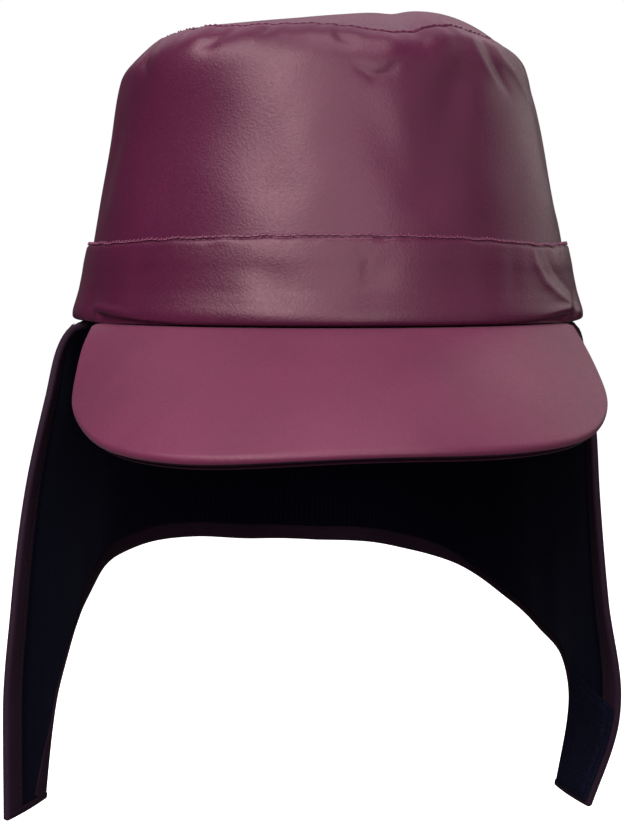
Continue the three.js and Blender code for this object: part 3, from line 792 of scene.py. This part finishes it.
def tuck_depth(angle, rise):
    """The band's foot tucked in under a folded lip at each end of the peak."""
    depth = np.zeros(np.broadcast(angle, rise).shape)
    for way, line in BAND_TUCKS:
        ends = np.array(line, float)
        turn = angle * way
        below = np.interp(turn, ends[:, 0], ends[:, 1]) - rise
        last = ends[-1, 0]
        share = smooth_step(turn, ends[0, 0], ends[0, 0] + 8) * smooth_step(turn, last + 0.8, last - 0.8)
        depth += share * BAND_TUCK_DEPTH * smooth_step(below, -0.3, 0.3)
        lip = smooth_step(turn, ends[1, 0], last - 3) * smooth_step(turn, last + 5, last)
        depth -= lip * 0.55 * np.exp(-(((below + 1.5) / 1.3) ** 2))
    return depth


def band_spot(angle, rise, stand_off):
    turn = wrapped(angle)
    turns = np.radians(turn)
    dip = band_dip_at(turn) + 0.1 * (np.sin(turns * 53) + np.sin(turns * 37 + 2))
    rise = rise - dip * smooth_step(rise, 6, 23)
    fold = dent_depth(BAND_DENTS, turn, rise, BAND_FOLD_RADIUS)
    fold += crease_depth(BAND_CREASES, turn, rise, BAND_FOLD_RADIUS)
    fold = (fold + tuck_depth(turn, rise)) * smooth_step(stand_off, 0.5, 1.3) * smooth_step(24.8, rise, rise + 3)
    fold = np.minimum(fold, np.maximum(stand_off - 0.95, 0))
    course = np.maximum(rise, 0) / SEAM_RISE
    spot = crown_point(angle, course)
    spot[..., 2] += np.minimum(rise, 0)
    spot[..., 2] -= 0.45 * np.exp(-(((np.abs(turn) - 57) / 7) ** 2)) * smooth_step(rise, 3, 0)
    return spot + crown_normal(angle, np.maximum(course, 0.011)) * (stand_off - fold)[..., None]


class RAINCAP_OT_band(bpy.types.Operator):
    """Makes the folded band round the foot of the crown, with a stitched groove under its top edge"""

    bl_idname = "raincap.band"
    bl_label = "Folded band"

    def execute(self, context):
        corners = np.array(BAND_SECTION, float)
        run = run_along(corners)
        rows = np.column_stack((run, corners))
        # Rows of the cloth: wide apart on the hidden inner side, close together round the foot
        stops = [0.0]
        for start, end, (rise, stand_off) in zip(run, run[1:], corners):
            pitch = 3 if stand_off < 1 else 0.3 if rise < 5 else 0.8
            parts = max(2, round((end - start) / pitch))
            stops.extend(np.linspace(start, end, parts + 1)[1:])
        count = len(stops) - 1

        def place(u, v):
            at = np.interp(v * count, np.arange(count + 1), stops)
            angle = 360 * u - 180
            rise = column_at(rows, 1, at)
            stand_off = column_at(rows, 2, at)
            turns = np.radians(angle)
            pull = np.exp(-(((rise - BAND_SEAM_RISE) / 1.6) ** 2)) * (stand_off > 0.9)
            ripple = np.sin(turns * 64 + 3 * np.sin(turns * 5)) + 0.8 * np.sin(turns * 29 + 1)
            return band_spot(angle, rise, stand_off + pull * 0.1 * ripple)

        cloth = coated_cloth("plum band cloth", colours().band, 0.34)
        band = cloth_tube("band_cloth", 600, count, place, (565, 56), [cloth], True)
        settle(band, "plum_band", "hatband")
        return {"FINISHED"}


peak_across = soft_column(PEAK_RIM_ROWS, 1, 0.35)
peak_ahead = soft_column(PEAK_RIM_ROWS, 2, 0.35)
peak_drop = soft_column(PEAK_RIM_ROWS, 3, 0.35)


def peak_point(across, out):
    """Peak's upper face: across 0 to 1 from left to right, out 0 to 1 from the band to the rim."""
    angle = np.radians(PEAK_END_ANGLES[0] + (PEAK_END_ANGLES[1] - PEAK_END_ANGLES[0]) * across)
    half_width = CROWN_ROWS[0][1] - 1.2

    def oval(reach, rise):
        return np.stack(
            (reach * np.sin(angle), -(reach + FOOT_LENGTH_EXTRA) * np.cos(angle), np.full(angle.shape, rise)), axis=-1
        )

    joint = oval(half_width + PEAK_TUCK, -0.7)
    at = np.clip(across, 0, 1) * (len(PEAK_RIM_ROWS) - 1)
    rim = np.stack((peak_across(at), -peak_ahead(at), -peak_drop(at)), axis=-1)
    share = np.clip((out - PEAK_JOINT_SHARE) / (1 - PEAK_JOINT_SHARE), 0, None)
    spot = joint + (rim - joint) * share[..., None]
    spot[..., 2] += PEAK_SWELL * 4 * share * (1 - share) * np.sin(np.pi * across)
    tucked = (np.minimum(out, PEAK_JOINT_SHARE) / PEAK_JOINT_SHARE)[..., None]
    inside = oval(half_width, -0.5) * (1 - tucked) + joint * tucked
    return np.where((out < PEAK_JOINT_SHARE)[..., None], inside, spot)


def peak_spot(across, out, depth):
    near_across = np.clip(across, 0.03, 0.97)
    near_out = np.clip(out, 0.12, 0.95)
    right = peak_point(near_across + 0.01, near_out) - peak_point(near_across - 0.01, near_out)
    outwards = peak_point(near_across, near_out + 0.01) - peak_point(near_across, near_out - 0.01)
    up = unit(np.cross(right, -outwards))
    lean = smooth_step(out, 0, 0.12)[..., None]
    up = unit(up * lean + np.array((0.0, 0.0, 1.0)) * (1 - lean))
    return peak_point(across, out) - up * depth[..., None]


class RAINCAP_OT_peak(bpy.types.Operator):
    """Makes the peak, its cloth rolled round the rim, and the cover under it"""

    bl_idname = "raincap.peak"
    bl_label = "Peak"

    def execute(self, context):
        # Section from the inner end under the peak, out round the rolled rim and back over the top: out, depth share
        section = [(0.0, 0.5), (0.0, 0.85), (0.012, 1.0)]
        section += [(out, 1.0) for out in np.linspace(0.04, 0.955, 34)]
        for turn in np.linspace(0, math.pi, 17):
            section.append((0.972 + 0.028 * math.sin(turn), 0.5 + 0.5 * math.cos(turn)))
        section += [(out, 0.0) for out in np.linspace(0.955, 0.1, 60)]
        section += [(0.07, 0.0), (0.04, 0.0), (0.012, 0.0), (0.0, 0.15), (0.0, 0.5)]
        count = len(section) - 1
        # Columns lie closer together towards the peak's two ends
        end_share = 0.04
        low = 0.5 - 0.5 * math.cos(math.pi * end_share)

        def place(u, v):
            out, share = rows_at(v * count, np.arange(count + 1), section).T
            across = 0.5 - 0.5 * np.cos(np.pi * (end_share + (1 - 2 * end_share) * u))
            across = (across - low) / (1 - 2 * low)
            bulge = 0.12 * np.sin(np.pi * across * 9) * smooth_step(out, 0.2, 0.6)
            return peak_spot(across, out, share * PEAK_THICKNESS + bulge * (1 - share))

        top = coated_cloth("berry coated cloth", colours().peak, 0.46, grain_share=0.8, sheen=0.05)
        peak = cloth_tube("peak_cloth", 220, count, place, PEAK_RUN, [top, hem_cloth()], False)
        # The dark hem cloth under the peak ends halfway round the rim: partly the under cloth turned up, partly
        # painted shade on the roll's lower half
        rows_in = read_run(peak.data)[:, 1] / (PEAK_RUN[1] * MM) * count
        for face in peak.data.polygons:
            own = rows_in[face.loop_start : face.loop_start + face.loop_total]
            face.material_index = int(own.mean() < PEAK_RIM_ROW)
        settle(peak, "berry_peak", "peak")

        def under_place(u, v, inner):
            edge = np.minimum((1 - v) * 70, np.minimum(u, 1 - u) * 180)
            roll = edge_roll(edge, 0.5) * 0.8
            depth = PEAK_THICKNESS + 0.12 + np.where(inner, 1.0 - roll, roll)
            return peak_spot(0.02 + 0.96 * u, 0.1 + 0.89 * v, depth)

        # The lighter cloth on the underside's edge faces is a painted highlight along the peak's lower edge
        edge_highlight_cloth = coated_cloth("peak edge cloth", [c * 2.2 + 0.02 for c in colours().flap], 0.5)
        under = cloth_wall("peak_underside_cloth", 140, 44, under_place, (180, 60), [flap_cloth(), edge_highlight_cloth])
        for face in under.data.polygons:
            face.material_index = int(abs(face.normal.z) < 0.5)
        settle(under, "dark_plum", "peak_underside")
        return {"FINISHED"}


flap_columns = {
    side: {
        "half_width": soft_column(hang, 1, 2.5),
        "front_angle": soft_column(hang, 2, 4),
        "wing": soft_column(hang, 3, 1.5),
        "edge": edge,
    }
    for side, hang, edge in (("left", LEFT_HANG_ROWS, LEFT_EDGE_ROWS), ("right", RIGHT_HANG_ROWS, RIGHT_EDGE_ROWS))
}
back_half_length = soft_column(BACK_ROWS, 1, 4)


def flap_point(place, drop):
    """Flap's outer face: place goes from -1 at the left front edge through 0 at the back to 1 at the right."""
    around = 1 - np.abs(place)
    hung = np.maximum(drop, 0)
    tuck = np.minimum(drop, 0) * 0.181
    left, right = flap_columns["left"], flap_columns["right"]
    on_left = place < 0

    def at(column):
        return np.where(on_left, left[column](hung), right[column](hung))

    front = at("front_angle")
    angle = np.radians(front + (180 - front) * around)
    wing_share = np.maximum(0, 1 - around / np.where(on_left, *WING_REACH))
    out = (at("half_width") + tuck) * np.sin(angle) + at("wing") * wing_share**2
    length = back_half_length(hung) + tuck
    return np.stack((np.where(on_left, -out, out), -length * np.cos(angle), -drop), axis=-1)


def flap_spot(place, drop, depth):
    step = 0.004
    near = np.clip(place, -1 + step, 1 - step)
    back = flap_point(near - step, drop) - flap_point(near + step, drop)
    down = flap_point(near, drop + 0.5) - flap_point(near, drop - 0.5)
    outwards = unit(np.cross(down, back))
    return flap_point(place, drop) + outwards * (flap_waves(place, drop) - depth)[..., None]


def flap_waves(place, drop):
    """Slow waves of the hanging cloth, none where it is sewn on, and its swell just under the band."""
    hang = smooth_step(drop, 2, 45)
    waves = 0.9 * np.sin(place * 13 + drop * 0.02) + 0.6 * np.sin(place * 27 + 1 - drop * 0.03)
    waves += 0.5 * np.sin(place * 6 + drop * 0.07)
    shoulder = smooth_step(drop, 0.6, 3.5) * smooth_step(drop, 26, 3) * smooth_step(np.abs(place), 0.15, 0.5)
    return waves * hang * smooth_step(1 - np.abs(place), 0.1, 0.35) + (1.0 - 0.6 * np.tanh(place * 6)) * shoulder


def edge_line(side, sign):
    """Lower edge on one side, from the strap's front corner to the back: place, drop, and seam place above."""
    rows = flap_columns[side]["edge"]
    strap_end = np.linspace(0, STRAP_CORNER, END_POINTS)
    at = np.concatenate((strap_end[:-1], np.linspace(STRAP_CORNER, rows[-1][0], ARCH_POINTS)))
    arch = at > STRAP_CORNER
    around, seam = (
        np.where(arch, column_at(rows[2:], column, at), at / STRAP_CORNER * rows[2][column]) for column in (1, 3)
    )
    drop = np.where(arch, column_at(rows[2:], 2, at), STRAP_DROP)
    return sign * (1 - around), drop, sign * (1 - seam)


def whole_edge():
    """The flap's lower edge from the left strap's front corner round to the right one's."""
    left = edge_line("left", -1)
    right = edge_line("right", 1)
    return [np.concatenate((a, b[::-1][1:])) for a, b in zip(left, right)]


def inwards_from(places, drops):
    """Direction into the cloth from each point of an edge line, in the flat of the flap: across, down."""
    return -unit(np.stack((np.gradient(places * FLAP_HALF_GIRTH), np.gradient(-drops)), axis=-1))[:, ::-1]


def hem_share(places, drops):
    """How wide the turned hem is along the lower edge, where the lining reaches nearer to some of it."""
    left = np.maximum(smooth_step(drops, 128, 156), smooth_step(drops, 110, 100))
    share = np.where(places < 0, np.maximum(left, 0.15), np.maximum(smooth_step(drops, 108, 99), 0.3))
    return np.where(drops > STRAP_DROP - 0.1, 0.15, share)


def hem_strip(name, places, drops, lift=0.0, shares=(1, 1)):
    """A turned hem: a thin folded strip that rolls round the cloth's edge and lies on its inner side."""
    count = len(HEM_SECTION) - 1
    edge = np.stack((places * FLAP_HALF_GIRTH, drops), axis=-1)

    def place(u, v):
        width, depth = rows_at(v * count, np.arange(count + 1), HEM_SECTION).T
        share = np.interp(u, np.linspace(0, 1, len(shares)), shares)
        width = np.where(width > 1, 1 + (width - 1) * share, width)
        line = np.linspace(0, 1, len(places))
        inwards = unit(rows_at(u, line, inwards_from(places, drops)))
        x, drop = (rows_at(u, line, edge) + inwards * width[:, None]).T
        return flap_spot(x / FLAP_HALF_GIRTH, drop, depth + np.where(depth > 1.2, lift, 0))

    length = float(run_along(edge)[-1])
    return cloth_tube(name, max(12, round(length / 1.4)), count, place, (length, 16), [hem_cloth()], False)


def clear_share(tops, lows, edge, widths):
    """How far down each column stays at least the edge's own width away from it."""
    shares = np.linspace(0, 1, 500)
    found = []
    for top, low in zip(tops, lows):
        spots = top + (low - top) * shares[:, None]
        near = np.min(np.linalg.norm(spots[:, None, :] - edge[None], axis=-1) - widths, axis=1)
        found.append(shares[np.nonzero(near >= 0)[0][-1]])
    return np.array(found)


class RAINCAP_OT_flap(bpy.types.Operator):
    """Makes the neck and ear flap with its two straps, its turned hems and its knitted lining"""

    bl_idname = "raincap.flap"
    bl_label = "Neck and ear flap"

    def execute(self, context):
        places, drops, seams = whole_edge()
        line = np.linspace(0, 1, len(places))

        def flap_place(u, v, inner):
            low, low_drop, seam = (np.interp(u, line, column) for column in (places, drops, seams))
            drop = -FLAP_TUCK_RISE + (low_drop + FLAP_TUCK_RISE) * v
            return flap_spot(seam + (low - seam) * v, drop, np.where(inner, FLAP_CLOTH, 0.0))

        flap = cloth_wall("flap_cloth", 240, 84, flap_place, (400, 170), [flap_cloth()])
        wide = hem_share(places, drops)
        arch = slice(END_POINTS - 1, 1 - END_POINTS)
        front = np.linspace(0.6, STRAP_DROP, FRONT_POINTS)
        hem = join("flap_hems", [
            hem_strip("arch_hem", places[arch], drops[arch], 0, wide[arch]),
            hem_strip("left_end_hem", places[:END_POINTS], drops[:END_POINTS], 0.3, (0.15, 0.15)),
            hem_strip("right_end_hem", places[-END_POINTS:], drops[-END_POINTS:], 0.3, (0.15, 0.15)),
            hem_strip("left_front_hem", np.full(FRONT_POINTS, -1.0), front, 0.12),
            hem_strip("right_front_hem", np.full(FRONT_POINTS, 1.0), front[::-1], 0.12),
        ])
        settle(flap, "dark_plum", "neck_flap")
        settle(hem, "dark_plum")

        tops = np.stack((seams * FLAP_HALF_GIRTH, np.full(len(line), -FLAP_TUCK_RISE + 0.5)), axis=-1)
        edge = np.stack((places * FLAP_HALF_GIRTH, drops), axis=-1)
        keep = (1 - np.abs(places)) * FLAP_HALF_GIRTH >= LINING_INSET
        tops, lows = tops[keep], edge[keep]
        shares = clear_share(tops, lows, edge, 1 + (LINING_INSET - 1) * wide)
        lows = tops + (lows - tops) * shares[:, None]
        lining_line = np.linspace(0, 1, len(tops))

        def lining_place(u, v, inner):
            top, low = (rows_at(u, lining_line, spots) for spots in (tops, lows))
            x, drop = (top + (low - top) * v[:, None]).T
            roll = edge_roll(np.minimum((1 - v) * 100, np.minimum(u, 1 - u) * 380), 0.6)
            depth = np.where(inner, FLAP_CLOTH + 1.1 - roll, FLAP_CLOTH + 0.15)
            return flap_spot(x / FLAP_HALF_GIRTH, drop, depth)

        knit = knit_cloth("black knitted lining", colours().lining)
        lining = cloth_wall("flap_lining_cloth", 220, 80, lining_place, (370, 150), [knit])
        settle(lining, "black_lining", "flap_lining")
        return {"FINISHED"}


class RAINCAP_OT_tapes(bpy.types.Operator):
    """Makes the hook tape inside the right strap's end and the loop tape outside the left one's"""

    bl_idname = "raincap.tapes"
    bl_label = "Strap tapes"

    def execute(self, context):
        for side, name, node_name, base, height, scale in (
            (1, "hook_tape_pad", "hook_tape", FLAP_HEM + TAPE_GAP, TAPE_THICKNESS, 1300.0),
            (-1, "loop_tape_pad", "loop_tape", -TAPE_GAP, -TAPE_THICKNESS, 900.0),
        ):
            def place(u, v, inner, side=side, base=base, height=height):
                share = 1 - u if side > 0 else u
                first = TAPE_ROWS[0][0] + TAPE_SLANT * (1 - share)
                drop = first + (TAPE_ROWS[-1][0] - first) * v
                start, end = column_at(TAPE_ROWS, 1, drop), column_at(TAPE_ROWS, 2, drop)
                start = start if side > 0 else start + LOOP_TAPE_INSET
                width = (end - start) * FLAP_HALF_GIRTH
                edge = np.minimum(np.minimum(u, 1 - u) * width, np.minimum(v, 1 - v) * TAPE_RUN[1])
                selvedge = 1 - 0.45 * (1 - smooth_step(edge, 1.6, 2.2))
                raised = (abs(height) * selvedge - edge_roll(edge, 0.5)) * np.sign(height)
                top = inner if height > 0 else ~inner
                depth = base + np.where(top, raised, -0.35 * np.sign(height))
                return flap_spot(side * (1 - start - (end - start) * share), drop, depth)

            tape = pile_cloth(node_name.replace("_", " "), colours().tape, scale)
            pad = cloth_wall(name, 44, 80, place, TAPE_RUN, [tape])
            settle(pad, "black_tape", node_name)
        return {"FINISHED"}


class RAINCAP_OT_stitching(bpy.types.Operator):
    """Sews the band, the top seam and the hems"""

    bl_idname = "raincap.stitching"
    bl_label = "Stitching"

    def execute(self, context):
        pitch = sizes().stitch_pitch / MM
        thick = sizes().thread_thickness / MM
        plum = thread("plum thread", [c * 2.2 + 0.05 for c in colours().crown])
        dark = thread("dark plum thread", [c * 0.6 for c in colours().hem])
        angles = np.linspace(-180, 180, 1441)

        def all_along(value, like=angles):
            """The same value at each place of a line."""
            return np.full(like.shape, value)

        seam_line = band_spot(angles, all_along(BAND_SEAM_RISE + 0.35), all_along(1.5))
        middles, along, share = evenly(seam_line, pitch)
        outwards = crown_normal(angles[0] + 360 * share, all_along(BAND_SEAM_RISE / SEAM_RISE, share))
        middles = middles + outwards * thick * 0.35
        band_row = stitch_row("band_row", middles, along, outwards, pitch * 0.78, thick, plum)
        up = np.cross(outwards, along)
        ends = middles + along * pitch / 2 + up * np.sign(up[:, 2:]) * 0.25
        ticks = stitch_row("band_ticks", ends, up, outwards, pitch * 0.42, thick * 0.8, plum)
        settle(join("band_stitches", [band_row, ticks]), "plum_band")

        top_line = crown_spot(angles, all_along(1.012), crown_folds(angles, all_along(1.012)))
        middles, along, share = evenly(top_line, pitch * 1.05)
        outwards = crown_normal(angles[0] + 360 * share, all_along(1.02, share))
        top_row = stitch_row("top_seam_stitches", middles, along, outwards, pitch * 0.7, thick * 0.8, plum)
        settle(top_row, "plum_cloth")

        # Hem stitching, on the inner and on the outer face of the flap
        places, drops, _ = whole_edge()
        arch = (hem_share(places, drops) > 0.9) & (drops < 120)
        across, down = inwards_from(places[arch], drops[arch]).T * HEM_STITCH_INSET
        lines = [(places[arch] + across / FLAP_HALF_GIRTH, drops[arch] + down)]
        front = np.linspace(1, 152, FRONT_STITCH_POINTS)
        for sign in (-1, 1):
            lines.append((all_along(sign * (1 - HEM_STITCH_INSET / FLAP_HALF_GIRTH), front), front))
        rows = []
        for line_places, line_drops in lines:
            for depth, way in ((FLAP_HEM, -1), (0.0, 1)):
                spots, deeper = (
                    flap_spot(line_places, line_drops, all_along(level, line_places)) for level in (depth, depth + 1)
                )
                middles, along, share = evenly(spots, pitch)
                outwards = rows_at(share, np.linspace(0, 1, len(spots)), unit(spots - deeper) * way)
                rows.append(stitch_row("hem_row", middles, along, outwards, pitch * 0.75, thick * 0.9, dark))
        settle(join("hem_stitches", rows), "dark_plum")
        return {"FINISHED"}


class RAINCAP_OT_stage(bpy.types.Operator):
    """Sets the floor, the soft lights and the camera"""

    bl_idname = "raincap.stage"
    bl_label = "Floor, light and camera"

    def execute(self, context):
        settings = context.scene.rain_cap_stage
        deselect()
        low = (0, 0, -settings.floor_drop)
        bpy.ops.mesh.primitive_circle_add(vertices=96, radius=25, fill_type="NGON", location=low)
        floor = context.object
        floor.name = floor.data.name = "floor"
        bpy.ops.object.transform_apply(location=True, rotation=True, scale=True)
        pale = bpy.data.materials.new("pale floor")
        pale.use_nodes = True
        tree = pale.node_tree
        shader = set_values(
            tree.nodes[SHADER],
            Base_Color=(0.86, 0.86, 0.86, 1), Roughness=0.9, Emission_Color=(1, 1, 1, 1), Emission_Strength=1.0,
        )
        # Bright to the camera only, so that the floor doesn't wash out the dark cloth
        paths = node(tree, "ShaderNodeLightPath", (-300, 400))
        dim = node(tree, "ShaderNodeBsdfDiffuse", (0, -400), Color=(0.12, 0.12, 0.12, 1))
        either = node(tree, "ShaderNodeMixShader", (400, 200))
        tree.links.new(paths.outputs["Is Camera Ray"], either.inputs["Fac"])
        tree.links.new(dim.outputs["BSDF"], either.inputs[1])
        tree.links.new(shader.outputs["BSDF"], either.inputs[2])
        tree.links.new(either.outputs["Shader"], tree.nodes["Material Output"].inputs["Surface"])
        floor.data.materials.append(pale)

        world = bpy.data.worlds.new("studio")
        context.scene.world = world
        world.use_nodes = True
        tree = world.node_tree
        background = set_values(tree.nodes["Background"], Color=(1, 1, 1, 1))
        paths = node(tree, "ShaderNodeLightPath", (-900, 300))
        split = node(tree, "ShaderNodeSeparateXYZ", (-1000, 0))
        tree.links.new(coordinates(tree, "Generated"), split.inputs["Vector"])
        soft = node(tree, "ShaderNodeMapRange", (-800, 0), From_Min=0.75, From_Max=0.98, To_Min=0.02, To_Max=0.1)
        tree.links.new(split.outputs["Y"], soft.inputs["Value"])
        mix = node(tree, "ShaderNodeMix", (-500, 100), data_type="FLOAT")
        tree.links.new(paths.outputs["Is Camera Ray"], mix.inputs["Factor"])
        tree.links.new(soft.outputs["Result"], mix.inputs[2])
        mix.inputs[3].default_value = 1.0
        tree.links.new(mix.outputs["Result"], background.inputs["Strength"])

        for name, spot, size, roll in (
            ("key_light", (-0.88, -0.68, 1.05), (1.6, 0.8), -30),
            ("front_light", (-0.10, -1.41, 0.64), (1.9, 1.1), -14),
            ("side_light", (1.03, 0.59, 0.66), (1.3, 1.1), 0),
            ("fill_light", (1.0, -1.0, 0.5), (1.6, 1.4), 0),
            ("back_light", (0.0, 0.95, 1.05), (1.6, 1.2), 0),
            ("top_light", (0.05, -0.4, 1.3), (0.8, 1.1), 0),
        ):
            light = bpy.data.lights.new(name, "AREA")
            light.shape = "RECTANGLE"
            light.size, light.size_y = size
            light.energy = getattr(settings, name.replace("light", "power"))
            light.color = (1.0, 0.74, 0.82) if name == "back_light" else (1.0, 0.92, 0.88)
            lamp = add_object(name, light)
            lamp.location = spot
            facing = (Vector((0, 0, 0)) - Vector(spot)).to_track_quat("-Z", "Y")
            lamp.rotation_euler = (facing @ Quaternion((0, 0, 1), math.radians(roll))).to_euler()

        camera = bpy.data.cameras.new("camera")
        camera.sensor_width = 36
        camera.lens = 61.23
        camera.shift_x = -15 / PHOTO_HEIGHT
        camera.shift_y = -136 / PHOTO_HEIGHT
        holder = add_object("camera", camera)
        holder.location = (-0.0218, -0.4995, 0.013)
        holder.rotation_euler = (math.radians(90), 0, math.radians(-2.5))
        context.scene.camera = holder
        context.scene.view_settings.view_transform = "Standard"
        return {"FINISHED"}


class RAINCAP_PT_panel(bpy.types.Panel):
    """Lists the rain cap's pieces, sizes and colours"""

    bl_idname = "RAINCAP_PT_panel"
    bl_label = "Rain cap"
    bl_space_type = "VIEW_3D"
    bl_region_type = "UI"
    bl_category = "Rain cap"

    def draw(self, context):
        scene = context.scene
        for settings in (scene.rain_cap_sizes, scene.rain_cap_colours, scene.rain_cap_stage):
            box = self.layout.box()
            for name in settings.__annotations__:
                box.prop(settings, name)
        for operator in OPERATORS:
            self.layout.operator(operator.bl_idname)


OPERATORS = (
    RAINCAP_OT_crown, RAINCAP_OT_band, RAINCAP_OT_peak, RAINCAP_OT_flap, RAINCAP_OT_tapes, RAINCAP_OT_stitching,
    RAINCAP_OT_stage,
)
CLASSES = (RainCapSizes, RainCapColours, RainCapStage, *OPERATORS, RAINCAP_PT_panel)


def register():
    for cls in CLASSES:
        bpy.utils.register_class(cls)
    bpy.types.Scene.rain_cap_sizes = PointerProperty(type=RainCapSizes)
    bpy.types.Scene.rain_cap_colours = PointerProperty(type=RainCapColours)
    bpy.types.Scene.rain_cap_stage = PointerProperty(type=RainCapStage)


def unregister():
    for name in ("rain_cap_sizes", "rain_cap_colours", "rain_cap_stage"):
        delattr(bpy.types.Scene, name)
    for cls in reversed(CLASSES):
        bpy.utils.unregister_class(cls)


def main():
    register()
    for operator in OPERATORS:
        name = operator.bl_idname.split(".")[1]
        getattr(bpy.ops.raincap, name)()


if __name__ == "__main__":
    main()
